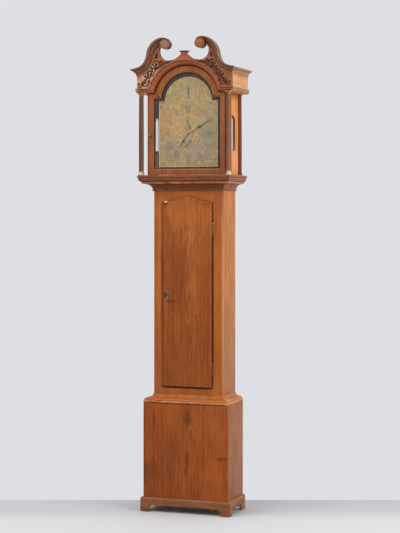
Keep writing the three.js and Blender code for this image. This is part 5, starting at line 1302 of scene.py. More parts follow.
def board_outline():
    """Upper edge behind the necks, the dips and the plinth, and below the arch and the architrave."""
    behind = 1.5
    r = ROSETTE_RADIUS
    rise = [neck_point(a, b, CORNICE_TOP) for a, b in NECK_RISE]
    outer = [(FRIEZE_HALF, CORNICE_TOP - behind), *((x - behind, z - behind) for x, z in rise)]
    outer += [(NECK_TOP_X, NECK_TOP - behind), (ROSETTE_X - 0.16 * r, NECK_TOP - 2 - behind)]
    outer += [(ROSETTE_X - r + 1, ROSETTE_Z + 4)]
    inner = [(ROSETTE_X + r + 2, ROSETTE_Z - 3)]
    inner += [neck_point(a, b, CORNICE_TOP) for a, b in ((0.131, 0.664), (0.142, 0.557), (0.102, 0.423))]
    wide, deep = DIP_X - PLINTH_HALF, PLINTH_SHOULDER - DIP_Z
    dips = ((1.4, 0.25), (1.06, 0), (0.69, 0.11), (0.38, 0.36), (0.17, 0.75))
    inner += [(PLINTH_HALF + a * wide, DIP_Z + b * deep) for a, b in dips]
    inner += [(PLINTH_HALF + 2, PLINTH_SHOULDER), (PLINTH_HALF, PLINTH_TOP)]
    hollow = arc((ROSETTE_X, ROSETTE_Z), r - 1, 1.16 * np.pi, 1.82 * np.pi, 16)
    low = ARCHITRAVE_TOP + CLEAR
    right = [(FRIEZE_HALF, low), *through(outer, 80), *hollow, *through(inner, 70)]
    left = [(-x, z) for x, z in reversed(right)]
    radius = ARCH_INNER + ARCH_BAND + CLEAR
    spring = np.arcsin((low - ARCH_CENTRE) / radius)
    return right + left + arc((0, ARCH_CENTRE), radius, np.pi - spring, spring, 70)


def scroll(centre, radius, start, turns):
    """Spiral that winds in from a radius to the size of its eye, the radius falling evenly with the
    angle, from a start angle in degrees over a number of turns."""
    eye = 0.18
    share = np.linspace(0, 1, 70)
    angle = np.radians(start) + turns * 2 * np.pi * share
    reach = radius * (1 - (1 - eye) * share**0.8)
    return np.stack([centre[0] + reach * np.cos(angle), centre[1] + reach * np.sin(angle)], axis=1)


def leaf(start, towards, end, half, rise, face):
    """Leaf along a bent line: its half width is that of a sine from one end to the other, drawn
    towards its root, and its back is ridged."""
    path = np.array([start, *bend(start, towards, end, 24)])
    share = np.linspace(0, 1, len(path))
    shape = np.sin(np.pi * share**0.7)
    return ribbon(path, half * shape + 0.15, rise * (0.35 + 0.65 * shape), face)


# Scrolls of the fret on the right half, as (side, level, radius, start in degrees, turns)
FRET_SCROLLS = (
    (232, 2093, 13, 150, 1.35),
    (201, 2103, 22, 330, -1.5),
    (170, 2141, 22, 300, 1.5),
    (146, 2188, 25, 290, -1.6),
    (110, 2193, 11.5, 10, 1.35),
)
# Leaves between them, as root, bend and tip with a half width
FRET_LEAVES = (
    ((218, 2080), (212, 2098), (224, 2116), 4.2),
    ((190, 2079), (178, 2086), (196, 2076), 3.0),
    ((186, 2122), (206, 2128), (205, 2140), 4.4),
    ((188, 2120), (182, 2140), (190, 2148), 3.4),
    ((186, 2096), (176, 2104), (182, 2120), 4.0),
    ((160, 2164), (176, 2172), (168, 2186), 4.6),
    ((152, 2150), (148, 2158), (152, 2168), 3.4),
    ((164, 2182), (160, 2206), (170, 2200), 3.6),
    ((150, 2214), (150, 2232), (138, 2242), 5.0),
    ((142, 2214), (136, 2226), (142, 2250), 4.0),
    ((124, 2190), (124, 2206), (116, 2212), 3.8),
    ((124, 2178), (112, 2174), (106, 2180), 3.0),
    ((98, 2196), (86, 2200), (76, 2196), 3.0),
    ((98, 2192), (84, 2192), (66, 2200), 2.4),
)
# The stem that the scrolls spring from
FRET_STEM = ((240, 2080), (222, 2078), (212, 2090), (190, 2124), (178, 2122), (164, 2162), (160, 2170),
             (132, 2174), (118, 2186), (98, 2188), (84, 2199), (60, 2206))


def scroll_board(sizes, ground, fret_finish, cap_finish):
    """Board behind the pediment with its applied fret, and the plinth's moulded cap."""
    face, rise = FRIEZE_FRONT, sizes.carving_rise
    board = solid("pediment_board", block(board_outline(), face - BOARD, face, 0.4))
    seat(board, ground, "hood_body", ["scroll_board"])
    parts = []
    for x, z, radius, start, turns in FRET_SCROLLS:
        path = scroll((x, z), radius, start, turns)
        share = np.linspace(1, 0, len(path))
        width = sizes.stem * (0.35 + 0.65 * share) * radius / 22
        parts.append(ribbon(path, np.maximum(width, 1.1), rise, face))
        boss = [(0, face), (0.24 * radius, face), (0.2 * radius, face + 0.7 * rise), (0, face + rise)]
        parts.append(turned(boss, (x, z), "forward", 16))
    for root, towards, tip, half in FRET_LEAVES:
        parts.append(leaf(root, towards, tip, half, rise, face))
    stem = through(FRET_STEM, 120)
    share = np.linspace(0, 1, len(stem))
    parts.append(ribbon(stem, sizes.stem * (0.45 + 0.5 * np.sin(np.pi * share)), 0.8 * rise, face))
    fret = solid("pediment_fret", *parts, *map(mirrored, parts))
    seat(fret, fret_finish, "hood_body")
    half, low, high = 23, PLINTH_TOP - 0.5, PLINTH_TOP + 6
    plan = rectangle(-half, half, face - BOARD - 4, face + 8)
    edge = [(6, low), (5, low + 0.6), (1, low + 2.6), (0, low + 3.2), (0, high - 0.6), (0.6, high)]
    seat(solid("plinth_cap", plate(plan, edge, forward)), cap_finish, "hood_body")


# Dial and hands
def about(outline, centre, degrees=0.0):
    """Outline turned clockwise by an angle and moved to a centre."""
    angle = np.radians(degrees)
    x, z = np.asarray(outline, float).T
    cos, sin = np.cos(angle), np.sin(angle)
    return np.stack([x * cos + z * sin + centre[0], z * cos - x * sin + centre[1]], axis=1)


def flat_ring(inner, outer, centre, face, height):
    """Thin ring on a face."""
    profile = [(inner, face), (outer, face), (outer, face + height), (inner, face + height)]
    return turned(profile, centre, "forward", 120, ring=True)


def bar(x0, z0, x1, z1, width):
    """Outline of a straight stroke between two points."""
    start, end = np.array((x0, z0)), np.array((x1, z1))
    square = (end - start)[::-1] * (1, -1) / np.linalg.norm(end - start) * width / 2
    return [start - square, end - square, end + square, start + square]


NUMERALS = ("XII", "I", "II", "III", "IV", "V", "VI", "VII", "VIII", "IX", "X", "XI")
# Width of each letter, and its strokes: both ends as (side, share of the height), and a thickness
STROKES = {
    "I": (7.0, ((0, 0, 0, 1, 3.0),)),
    "V": (13.0, ((-5, 1, 0, 0, 3.2), (0, 0, 5, 1, 1.1))),
    "X": (13.0, ((-5, 1, 5, 0, 3.2), (-5, 0, 5, 1, 1.1))),
}


def numeral(letters, height):
    """Strokes of a roman numeral, with a hair line along its head and its foot."""
    widths = [STROKES[letter][0] for letter in letters]
    total = sum(widths)
    left = -total / 2
    strokes = []
    for letter, width in zip(letters, widths):
        for x0, z0, x1, z1, thick in STROKES[letter][1]:
            middle = left + width / 2
            strokes.append(bar(middle + x0, (z0 - 0.5) * height, middle + x1, (z1 - 0.5) * height, thick))
        left += width
    for z in (-height / 2, height / 2):
        strokes.append(bar(-total / 2, z, total / 2, z, 0.9))
    return strokes


def dial_marks(sizes):
    """Roman numerals, the minute track and the small dials' marks."""
    mark = sizes.engraving
    ring = DIAL_FRONT + sizes.ring_height
    centre = (0, DIAL_CENTRE)
    parts = []

    def cut(outline, place, degrees, face):
        """One mark on a face, turned about the centre of its dial."""
        parts.append(plate(about(outline, place, degrees), [(0, face), (0, face + mark)]))

    for hour, letters in enumerate(NUMERALS):
        for stroke in numeral(letters, 23.0):
            cut(about(stroke, (0, 117)), centre, 30 * hour, ring)
    for minute in range(sizes.minute_marks):
        fifth = minute % 5 == 0
        tick = bar(0, 133.2, 0, 139.5 if fifth else 137.4, 1.5 if fifth else 0.7)
        cut(tick, centre, 360 * minute / sizes.minute_marks, ring)
    for inner, outer in ((102.2, 103), (132.6, 133.2), (137.4, 138), (145.6, 146.4)):
        parts.append(flat_ring(inner, outer, centre, ring, mark))
    for level, count, low, high in (
        (DIAL_CENTRE + SMALL_DIAL, 60, 25.5, 29.5),
        (DIAL_CENTRE - SMALL_DIAL, 31, 19.5, 22.5),
        (SELECTOR_Z, 8, 28.5, 32.0),
    ):
        for k in range(count):
            cut(bar(0, low, 0, high, 0.5), (0, level), 360 * k / count, DIAL_FRONT)
        parts.append(flat_ring(low - 0.25, low + 0.15, (0, level), DIAL_FRONT, mark))
    return parts


# Scrolls and leaves cast for a corner of the dial, seen from its centre, and for its arch, seen from
# the small dial there: side, height, radius, start in degrees and turns; root, bend and tip
CORNER_SCROLLS = ((133, 142, 11, 200, 1.3), (114, 151, 7, 330, -1.2), (142, 123, 7, 120, 1.2))
CORNER_LEAVES = (
    ((133, 142), (146, 146), (149, 157)),
    ((120, 150), (108, 156), (98, 155)),
    ((142, 126), (149, 116), (148, 104)),
    ((126, 132), (118, 136), (112, 146)),
)
ARCH_SCROLLS = ((70, 0, 15, 250, 1.4), (51, 22, 9, 297.938, -1.3), (88, -22, 9, 108.862, 1.3))
ARCH_LEAVES = (
    ((85, 12), (98, 2), (104, -22)),
    ((60, 16), (62, 36), (40, 52)),
    ((52, -6), (40, -20), (60, -30)),
)


def dial_ornament():
    """Cast scrolls in the dial's corners and in its arch, each the same shape turned about."""
    face, rise = DIAL_FRONT, 1.6
    parts = []
    for scrolls, leaves, level, up, thick, thin, half in (
        (CORNER_SCROLLS, CORNER_LEAVES, DIAL_CENTRE, -1, 2.0, 0.8, 2.6),
        (CORNER_SCROLLS, CORNER_LEAVES, DIAL_CENTRE, 1, 2.0, 0.8, 2.6),
        (ARCH_SCROLLS, ARCH_LEAVES, SELECTOR_Z, 1, 2.4, 0.9, 3.4),
    ):
        for x, z, radius, start, turns in scrolls:
            path = scroll((x, z), radius, start, turns) * (1, up) + (0, level)
            parts.append(ribbon(path, np.linspace(thick, thin, len(path)), rise, face))
        for points in leaves:
            parts.append(leaf(*(np.array(points) * (1, up) + (0, level)), half, rise, face))
    return parts + [mirrored(part) for part in parts]


def dial(sizes, ring_finish, centre_finish, gilt, wax, bright):
    """What is laid on the dial plate: chapter ring, small dials in a matted finish, cast ornament, marks,
    the rings turned round the winding holes and the border."""
    face = DIAL_FRONT
    centre = (0, DIAL_CENTRE)
    chapter = flat_ring(100, 148, centre, face, sizes.ring_height)
    seat(solid("chapter_ring", chapter), ring_finish, "case")
    small = [
        flat_ring(inner, outer, (0, level), face, 0.06)
        for inner, outer, level in (
            (17.5, 31, DIAL_CENTRE + SMALL_DIAL),
            (14, 24, DIAL_CENTRE - SMALL_DIAL),
            (22, 34, SELECTOR_Z),
        )
    ]
    seat(solid("small_dials", *small), centre_finish, "case")
    seat(solid("dial_castings", *dial_ornament()), gilt, "case")
    seat(solid("dial_marks", *dial_marks(sizes)), wax, "case")
    section = [(6.7, face), (10, face), (10, face + 0.5)]
    for r in (9.2, 8.1, 7.1):
        section += bead((r + 0.4, face + 0.5), (r - 0.4, face + 0.5), -0.4, 4)
    holes = [(side * WINDING_X, WINDING_Z) for side in (-1, 1)]
    rings = [turned(section, hole, "forward", 48, ring=True) for hole in holes]
    seat(solid("winding_rings", *rings), bright, "case")
    # The border's pale brass also stands for a painted highlight along the plate's edge
    radius, wide = 122, 1.7
    spring = np.arcsin((DIAL_SHOULDER - DIAL_TOP + radius) / radius)
    crown = arc((0, DIAL_TOP - radius), radius, spring, np.pi - spring, 60)
    edge = [(-DIAL_HALF, DIAL_BOTTOM), (DIAL_HALF, DIAL_BOTTOM), (DIAL_HALF, DIAL_SHOULDER), *crown]
    edge += [(-DIAL_HALF, DIAL_SHOULDER)]
    slope = [(0, face), (0, face + 0.5), (0.5, face + 1)]
    border = opened(edge, inset(edge, wide), np.array(centre), slope, slope[::-1])
    seat(solid("dial_border", border), bright, "case")


def pointed(right, tip):
    """Symmetric outline from its right half and its tip."""
    right = np.array(right, float)
    return np.vstack([right, [(0, tip)], right[::-1] * (-1, 1)])


def toothed(count, tip, tooth):
    """Outline of a wheel's rim: four points to each tooth, low, high, high and low."""
    at = (np.arange(count)[:, None] + (0.02, 0.3, 0.55, 0.83)).ravel() * 2 * np.pi / count
    radius = np.tile([tip - tooth, tip, tip, tip - tooth], count)
    return np.stack([radius * np.cos(at), radius * np.sin(at)], axis=1)


def long_hand(tip, wide):
    """Right half of a long hand: a stem, a scrolled swelling at the middle and a fine point."""
    knots = [(1.6, 3.5), (1.6, 0.2 * tip), (2.4, 0.3 * tip), (1.4, 0.36 * tip), (2.2, 0.44 * tip)]
    knots += [(8.6, 0.5 * tip), (7.4, 0.57 * tip), (3.2, 0.6 * tip), (1.6, 0.68 * tip), (2.8, 0.76 * tip)]
    knots += [(1.3, 0.84 * tip), (0.5, 0.95 * tip)]
    return np.vstack([[(1.8, -4.0)], through([(x * wide + 0.3, z) for x, z in knots], 70)])


# Each hand: its name, body and node, what it points at in degrees, its centre's level over the
# dial's, how far it stands off the dial, its thickness, the right half of its blade, its tip, and
# the radii of its boss and of the stem that it turns on
HANDS = (
    ("hour", "hour_body", "hour_hand", 215, 0, 1.4, 1.2, long_hand(80, 0.85), 80, 5.4, 4),
    ("minute", "centre_body", "minute_hand", 60, 0, 4.4, 1.2, long_hand(129, 0.6), 129, 5, 4),
    ("seconds", "escape_body", "seconds_hand", 155, SMALL_DIAL, 0.3, 0.9,
     ((1.6, -19), (3.0, -12), (1.6, -5), (1.8, 6), (2.4, 16), (1.8, 25)), 36, 3.2, 2.4),
    ("date", "date_body", "date_hand", 219, -SMALL_DIAL, 0.3, 0.9,
     ((1.8, -24), (3.2, -14), (1.8, -5), (1.9, 5), (3.2, 14)), 24, 3.2, 1.6),
    ("selector", "strike_selector_body", "strike_selector_hand", 0, SELECTOR_Z - DIAL_CENTRE, 0.3, 0.9,
     ((2.2, -27), (1.7, -14), (2.6, 0), (2.6, 10), (1.6, 20)), 28, 3.2, 1.6),
)


def hands(finish):
    """Each hand is a blade with eased edges on a boss, with the stem or pipe that it turns on. The
    hour hand's pipe is bored for the centre arbor and carries a toothed wheel behind the dial."""
    for name, body, node_name, reading, level, off, thick, half, tip, boss, stem in HANDS:
        centre = np.array((0, DIAL_CENTRE + level))
        rear, ease = DIAL_FRONT + off, 0.2
        front = rear + thick
        start, end = span(node_name)[1]
        parts = [block(about(pointed(half, tip), centre, reading), rear, front, ease)]
        bored = name == "hour"
        bore = 2.5 if bored else 0.0
        if bored:
            wheel = span("front_plate")[1][1] + 2.5
            rim, hub = toothed(72, 24, 1.4) + centre, about(toothed(24, stem, 0), centre)
            flat = [(0, wheel), (0, wheel + 2)]
            parts.append(opened(rim, hub, centre, flat, flat[::-1]))
        profile = [(bore, start), (stem, start), (stem, rear), (boss - ease, rear), (boss, rear + ease)]
        profile += [(boss, front - ease), (boss - ease, front), (stem, front), (stem, end), (bore, end)]
        parts.append(turned(profile, centre, "forward", 40, ring=bored))
        seat(solid(f"{name}_pointer", *parts), finish, body, [node_name])


# Movement, pendulum and weights
def bell(finish):
    """Thin bell: a dome whose wall keeps its thickness, with a thicker lip."""
    (x0, x1), _, (low, high) = span("bell")
    x, depth, _ = centre_of("bell")
    radius, height, wall = (x1 - x0) / 2, high - low, 2.5
    angle = np.linspace(0, np.pi / 2, 22)
    across, up = np.sin(angle) ** 0.8, np.cos(angle) ** 0.9
    outside, inside = (
        np.stack([(radius - off) * across, low + (height - off) * up], axis=1) for off in (0, wall)
    )
    profile = np.vstack([outside, inside[::-1]])
    mesh = solid("bell_dome", turned(profile, (x, depth), sides=64))
    seat(mesh, finish, "case", ["bell"])


def pendulum(steel, brass):
    """Rod with its spring and rating nut, and a lens-shaped bob with a rolled rim."""
    depth = centre_of("pendulum_rod")[1]
    low, high = span("pendulum_rod")[2]
    x, _, middle = centre_of("pendulum_bob")
    (x0, x1), (rear, front), (bob_low, _) = span("pendulum_bob")
    radius, half = (x1 - x0) / 2, (front - rear) / 2
    spring_length = 75
    rod_top = high - spring_length
    nut = bob_low - CLEAR
    r = 2.3
    rod = [(0, low), (r - 0.6, low), (r, low + 0.8), (r, nut - 8), (7.2, nut - 8), (8, nut - 7.2)]
    rod += [(8, nut - 0.8), (7.2, nut), (r, nut), (r, rod_top), (0, rod_top)]
    parts = [turned(rod, (0, depth), sides=32)]
    spring, clamp = (0.4, 4, rod_top - 4, high - 5, 0.1), (5, 5, high - 6, high, 0.5)
    for wide, deep, bottom, top, ease in (spring, clamp):
        parts.append(block(rectangle(-wide, wide, bottom, top), depth - deep, depth + deep, ease))
    seat(solid("pendulum_bar", *parts), steel, "pendulum_body", ["pendulum_rod"])
    share = np.linspace(0, 1, 26)
    swell = 2.4 + (half - 2.4) * (1 - (share * radius / (radius - 2)).clip(0, 1) ** 2)
    rear, front = (np.stack([share * (radius - 1.6), depth + side * swell], axis=1) for side in (-1, 1))
    rim = [(radius - 1, depth - 3), (radius, depth - 2), (radius, depth + 2), (radius - 1, depth + 3)]
    profile = np.vstack([rear, rim, front[::-1]])
    mesh = solid("pendulum_disc", turned(profile, (x, middle), "forward", 96))
    seat(mesh, brass, "pendulum_body", ["pendulum_bob"])


# Half of the section of a weight's pulley and its axle, as radius and depth off its middle
PULLEY = ((0, -4.5), (24.6, -4.5), (25.5, -4.2), (25.5, -3.4), (21.4, -1.4), (21, 0), (21.4, 1.4),
          (25.5, 3.4), (25.5, 4.2), (24.6, 4.5), (0, 4.5))
AXLE = ((0, -8.6), (2.4, -8.6), (2.4, 8.6), (0, 8.6))


def weights(finish):
    """Iron weights, each with its hook, stirrup and grooved pulley."""
    iron_height, pulley_rise = 230, 52
    strap, yoke_low, yoke_high = 4, 30, 27
    for name in ("going_weight", "strike_weight"):
        (x0, x1), _, (low, _) = span(name)
        x, depth, _ = centre_of(name)
        r = (x1 - x0) / 2
        top = low + iron_height
        pulley_z = top + pulley_rise
        body = [(0, low), (r - 3, low), *quarter((r - 3, low), (r, low + 3), True, 5), (r, top - 8)]
        body += [*quarter((r, top - 8), (r - 14, top), False, 8), (0, top)]
        hook = forward(x, depth, np.linspace(top - 2, pulley_z - yoke_high, 8))
        parts = [turned(body, (x, depth), sides=64), tube(hook, 2.4, (0, 1, 0), 16)]
        yoke = rectangle(x - strap, x + strap, pulley_z - yoke_low, pulley_z - yoke_high)
        parts.append(block(yoke, depth - 9, depth + 9, 0.5))
        cheek = [(x - strap, pulley_z - 29), (x + strap, pulley_z - 29)]
        cheek += arc((x, pulley_z + 1), strap, 0, np.pi, 12)
        for near, far in ((-9, -6.5), (6.5, 9)):
            parts.append(block(cheek, depth + near, depth + far, 0.4))
        for section, sides in ((PULLEY, 64), (AXLE, 20)):
            profile = [(radius, depth + off) for radius, off in section]
            parts.append(turned(profile, (x, pulley_z), "forward", sides))
        seat(solid(f"{name}_iron", *parts), finish, f"{name}_body", [name])


def lines(finish):
    """Gut lines: for each weight a loop from the seatboard down round its pulley and up again, and the
    stretch above the seatboard."""
    seat_bottom = span("seatboard")[2][0]
    for name in ("going", "strike"):
        line, joint = f"{name}_line", f"{name}_weight_rise"
        (x0, x1), (rear, front), (low, high) = span(line)
        depth = centre_of(line)[1]
        r = (front - rear) / 2
        left, right = x0 + r, x1 - r
        reach, middle = (right - left) / 2, (left + right) / 2
        pulley_z = low + r + reach
        down = np.linspace(seat_bottom - CLEAR, pulley_z + 10, 30)
        angle = np.linspace(0, -np.pi, 25)
        under = forward(middle + reach * np.cos(angle), depth, pulley_z + reach * np.sin(angle))
        loop = np.concatenate([forward(right, depth, down), under, forward(left, depth, down[::-1])])
        fall = forward(left, depth, np.linspace(seat_bottom - CLEAR, high, 12))
        looped, _ = (
            seat(solid(f"{name}_{part}", tube(path, r, (0, 1, 0), 10)), finish, "case", [line])
            for part, path in (("loop", loop), ("fall", fall))
        )
        anchor = tuple(forward(middle, depth, seat_bottom))
        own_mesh(looped)


# Stage
def lamp(name, place, target, size, watts):
    """Square lamp that faces a target."""
    light = bpy.data.lights.new(name, "AREA")
    light.energy = watts
    light.size = size
    holder = placed(name, light, place)
    holder.rotation_euler = (Vector(target) - Vector(place)).to_track_quat("-Z", "Y").to_euler()


def floor(stage, colours):
    """Pale floor with a faint grain, which ends just behind the clock in a line square to the camera."""
    material, tree = blank("floor_paper")
    place = node(tree, "TexCoord").outputs["Object"]
    fine = noise(tree, place, 90, 4, 0.6)
    square_on = node(tree, "VectorRotate", {"Vector": place, "Angle": -stage.camera_turn}).outputs[0]
    along = node(tree, "SeparateXYZ", {0: square_on}).outputs[1]
    # The floor darkens towards its rear edge: painted shade
    shade = mix(tree, rescale(tree, along, -0.22, -0.02, 0.0, 1.0), colours.floor, colours.floor_far)
    shade = mix(tree, rescale(tree, fine, 0.35, 0.65, 0.0, 0.03), shade, (0.5, 0.5, 0.5))
    surface(tree, shade, rescale(tree, fine, 0.3, 0.7, 0.85, 0.95), fine, 0.0001, Specular_IOR_Level=0.2)
    count = 15
    across = np.linspace(-3.5, 3.5, count)
    across, along = np.meshgrid(across, np.linspace(-4.5, stage.rear_edge, count), indexing="ij")
    cos, sin = np.cos(stage.camera_turn), np.sin(stage.camera_turn)
    grid = np.stack([across * cos - along * sin, across * sin + along * cos, 0 * across], axis=-1)
    first = np.arange(count**2).reshape(count, count)
    quads = np.stack([first[:-1, :-1], first[1:, :-1], first[1:, 1:], first[:-1, 1:]], axis=-1)
    mesh = bpy.data.meshes.new("floor")
    mesh.from_pydata(grid.reshape(-1, 3).tolist(), [], quads.reshape(-1, 4).tolist())
    mesh.materials.append(material)
    placed("floor", mesh)


def surroundings(stage, colours):
    """Even light from all round, and the backdrop's own colour where it is seen straight on, in a
    reflection or through glass."""
    world = bpy.data.worlds.new("studio")
    bpy.context.scene.world = world
    world.use_nodes = True
    tree = world.node_tree
    tree.nodes.clear()
    path = node(tree, "LightPath").outputs
    seen = maths(tree, "MAXIMUM", path["Is Camera Ray"], path["Is Glossy Ray"])
    seen = maths(tree, "MAXIMUM", seen, path["Is Transmission Ray"])
    light = node(tree, "Background", {"Color": (1, 1, 1, 1), "Strength": stage.sky}).outputs[0]
    picture = node(tree, "Background", {"Color": (*colours.backdrop, 1), "Strength": 1.0}).outputs[0]
    both = node(tree, "MixShader", {0: seen, 1: light, 2: picture}).outputs[0]
    tree.links.new(both, node(tree, "OutputWorld").inputs[0])


def camera(stage):
    """Camera at the picture's place and heading."""
    data = bpy.data.cameras.new("camera")
    data.lens = stage.lens
    data.sensor_width = 36
    data.shift_y = stage.shift
    holder = placed("camera", data, stage.camera_place)
    holder.rotation_euler = (np.pi / 2, 0, stage.camera_turn)
    bpy.context.scene.camera = holder


# Operators
def names_in(group):
    """The names of a group's settings."""
    return [name for name in group.bl_rna.properties.keys() if name not in ("name", "rna_type")]


def in_millimetres(group):
    """The clock's sizes, with each length in millimetres."""
    values = {name: getattr(group, name) for name in names_in(group)}
    lengths = {name: value / MM for name, value in values.items() if isinstance(value, float)}
    return SimpleNamespace(**{**values, **lengths})


class ClockOperator:
    """Common to the clock's operators: runs `make` with the scene's sizes and its finishes, whose
    boards are numbered from `first_board`."""

    bl_options = {"REGISTER", "UNDO"}
    first_board = 0

    def execute(self, context):
        scene = context.scene
        self.make(in_millimetres(scene.clock_sizes), Finishes(scene.clock_colours, self.first_board))
        return {"FINISHED"}


class CLOCK_OT_mouldings(ClockOperator, bpy.types.Operator):
    """Waist, throat, rail and skirt mouldings, mitred round the case"""

    bl_idname = "clock.mouldings"
    bl_label = "Case mouldings"
    first_board = 10

    def make(self, sizes, finish):
        pair = lambda kind: (finish.wood(kind, "map"), finish.wood(f"{kind}_side", "map"))
        trunk_moulding("waist_moulding", waist, sizes, pair("waist"))
        trunk_moulding("throat_moulding", throat, sizes, pair("moulding"))
        trunk_moulding("hood_rail", rail, sizes, pair("moulding"), "hood_body", 2 * CLEAR)
        skirt_bead(sizes, pair("skirt"))


class CLOCK_OT_boards(ClockOperator, bpy.types.Operator):
    """Boards of the base, trunk and skirt with eased arrises and oak grain"""

    bl_idname = "clock.boards"
    bl_label = "Case boards"
    first_board = 20

    def make(self, sizes, finish):
        ease = sizes.board_arris
        eased_board("base_front", finish.wood("base", "z", spots=BASE_SPOTS), "case", ease)
        trunk_front = finish.wood("trunk", "z", spots=TRUNK_SPOTS)
        eased_board("trunk_front_frame", trunk_front, "case", ease)
        for side in ("left", "right"):
            eased_board(f"base_side_{side}", finish.wood("base_side", "z"), "case", ease)
            trunk_oak = finish.wood("side", "z", spots=TRUNK_SIDE_SHADE)
            eased_board(f"trunk_side_{side}", trunk_oak, "case", ease)
            eased_board(f"skirt_{side}", finish.wood("skirt_side", "y"), "case", ease)
        eased_board("skirt_front", finish.wood("skirt", "x"), "case", ease)
        finish_node("backboard", finish.wood("pine", "z"))
        finish_node("seatboard", finish.wood("pine", "x"))
        finish_node("hood_roof", finish.wood("pine", "y"))


class CLOCK_OT_trunk_door(ClockOperator, bpy.types.Operator):
    """Trunk door with its lip, hinges, lock, escutcheon and key"""

    bl_idname = "clock.trunk_door"
    bl_label = "Trunk door"
    first_board = 40

    def make(self, sizes, finish):
        trunk_door(sizes, finish.wood("trunk_door", "z", spots=DOOR_SPOTS))
        escutcheon(finish.old_brass())
        key(finish.steel())
        for name in ("trunk_hinge_upper", "trunk_hinge_lower"):
            eased_board(name, finish.old_brass(), "trunk_door_body", 0.2)
        finish_node("trunk_lock", finish.steel())
        finish_node("trunk_lock_bolt", finish.brass())


class CLOCK_OT_hood(ClockOperator, bpy.types.Operator):
    """Hood sides, columns, door and glass"""

    bl_idname = "clock.hood"
    bl_label = "Hood"
    first_board = 50

    def make(self, sizes, finish):
        colours, brass, old_brass = finish.colours, finish.brass(), finish.old_brass()
        hood_door(sizes, finish.wood("door", "z", spots=HOOD_DOOR_EDGE_SHADE))
        polish = {"roughness": 0.36, "coat": 0.25}
        columns = {side: finish.wood(f"column_{side}", "z", **polish) for side in ("left", "right")}
        bright = metal("column_brass", colours.pale_brass, colours.tarnish, 0.4, 0.75, 0.6)
        front_columns(sizes, columns, bright, old_brass)
        rear_columns = finish.wood("column_rear", "z")
        hood_sides(sizes, finish.wood("hood_side", "z", spots=HOOD_SIDE_SPOTS), rear_columns)
        knob(old_brass)
        for name in ("hood_hinge_upper", "hood_hinge_lower"):
            finish_node(name, brass)
        finish_node("side_glass_left", glass("left_glass", colours.pane, 0.9))
        # The right window's glass is less clear and pale: a painted reflection
        finish_node("side_glass_right", glass("right_glass", colours.pane, 0.38))
        finish_node("hood_door_glass", glass("door_glass", colours.pane, 0.97))


class CLOCK_OT_pediment(ClockOperator, bpy.types.Operator):
    """Archivolt, frieze, cornice, swan necks and the carved board"""

    bl_idname = "clock.pediment"
    bl_label = "Pediment"
    first_board = 60

    def make(self, sizes, finish):
        arch_moulding(sizes, finish.wood("archivolt", "map"))
        entablatures(sizes, finish.wood("frieze", "y"), finish.wood("cornice", "map"))
        discs = {"left": finish.wood("rosette", "x"), "right": finish.wood("archivolt", "x")}
        neck = finish.wood("neck", "map", roughness=0.36, coat=0.35)
        swan_necks(sizes, neck, discs, finish.wood("fret", "map"))
        ground = finish.wood("ground", "x", spots=GROUND_SPOTS)
        scroll_board(sizes, ground, finish.wood("fret", "map"), finish.wood("column_left", "x"))


class CLOCK_OT_dial(ClockOperator, bpy.types.Operator):
    """Dial plate, chapter ring, marks, castings and hands"""

    bl_idname = "clock.dial"
    bl_label = "Dial"

    def make(self, sizes, finish):
        colours = finish.colours
        finish_node("dial_plate", dial_brass("dial_sheet", colours))
        ring = dial_brass("dial_ring", colours, metallic=0.35, roughness=0.38)
        centre = dial_brass("dial_small_rings", colours, metallic=0.3, roughness=0.5, matting=0.0002)
        gilt = metal("gilt_castings", colours.brass, colours.tarnish, 0.34, 0.8)
        wax = metal("black_wax", colours.wax, dimmed(colours.wax, 0.5), 0.5, 0.5, 0.0)
        bright = metal("pale_brass", colours.pale_brass, colours.tarnish, 0.4, 0.4, 0.3)
        dial(sizes, ring, centre, gilt, wax, bright)
        dark = dimmed(colours.steel, 0.55)
        hands(metal("hand_steel", dark, dimmed(dark, 0.5), 0.4, 0.5, 0.3))


class CLOCK_OT_movement(ClockOperator, bpy.types.Operator):
    """Plates, wheels, barrels, anchor, hammer and bell"""

    bl_idname = "clock.movement"
    bl_label = "Movement"

    def make(self, sizes, finish):
        brass, steel = finish.brass(), finish.steel()
        bell(brass)
        wheels = ("going_barrel", "strike_barrel", "centre_wheel", "third_wheel", "escape_wheel")
        for name in ("back_plate", "front_plate", *wheels):
            finish_node(name, brass)
        for name in ("anchor", "bell_hammer"):
            finish_node(name, steel)


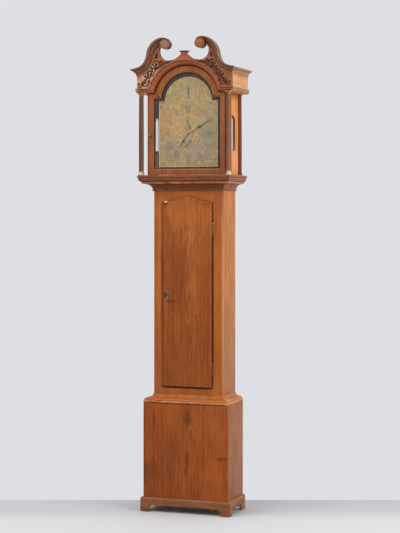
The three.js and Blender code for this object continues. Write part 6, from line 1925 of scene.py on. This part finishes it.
class CLOCK_OT_pendulum(ClockOperator, bpy.types.Operator):
    """Pendulum, weights and gut lines"""

    bl_idname = "clock.pendulum"
    bl_label = "Pendulum and weights"

    def make(self, sizes, finish):
        pendulum(finish.steel(), finish.brass())
        weights(finish.iron())
        lines(twine("gut_twist", finish.colours.gut))


class CLOCK_OT_stage(bpy.types.Operator):
    """Floor, backdrop, lamps and camera"""

    bl_idname = "clock.stage"
    bl_label = "Stage"

    def execute(self, context):
        stage, colours = context.scene.clock_stage, context.scene.clock_colours
        floor(stage, colours)
        surroundings(stage, colours)
        lamp("key", (-1.5, -2.7, 4.0), (0, 0, 1.4), 3.2, stage.key)
        lamp("fill", (4.2, -1.5, 2.3), (0, 0, 1.2), 2.8, stage.fill)
        camera(stage)
        context.scene.view_settings.view_transform = "Standard"
        return {"FINISHED"}


class CLOCK_PT_panel(bpy.types.Panel):
    """The clock's operators, in the order they run"""

    bl_label = "Longcase clock"
    bl_idname = "CLOCK_PT_panel"
    bl_space_type = "VIEW_3D"
    bl_region_type = "UI"
    bl_category = "Clock"

    def draw(self, context):
        for operator in OPERATORS:
            self.layout.operator(operator.bl_idname)
        for group in (context.scene.clock_sizes, context.scene.clock_colours, context.scene.clock_stage):
            for name in names_in(group):
                self.layout.prop(group, name)


OPERATORS = (
    CLOCK_OT_boards,
    CLOCK_OT_mouldings,
    CLOCK_OT_trunk_door,
    CLOCK_OT_hood,
    CLOCK_OT_pediment,
    CLOCK_OT_dial,
    CLOCK_OT_movement,
    CLOCK_OT_pendulum,
    CLOCK_OT_stage,
)
GROUPS = {"clock_sizes": ClockSizes, "clock_colours": ClockColours, "clock_stage": ClockStage}


def register():
    """Registers the classes and hangs the settings on the scene."""
    for item in (*GROUPS.values(), *OPERATORS, CLOCK_PT_panel):
        bpy.utils.register_class(item)
    for name, group in GROUPS.items():
        setattr(bpy.types.Scene, name, PointerProperty(type=group))


def unregister():
    """Takes the settings and the classes away again."""
    for name in GROUPS:
        delattr(bpy.types.Scene, name)
    for item in (*GROUPS.values(), *OPERATORS, CLOCK_PT_panel):
        bpy.utils.unregister_class(item)


def main():
    register()
    for operator in OPERATORS:
        group, name = operator.bl_idname.split(".")
        getattr(getattr(bpy.ops, group), name)()


if __name__ == "__main__":
    main()
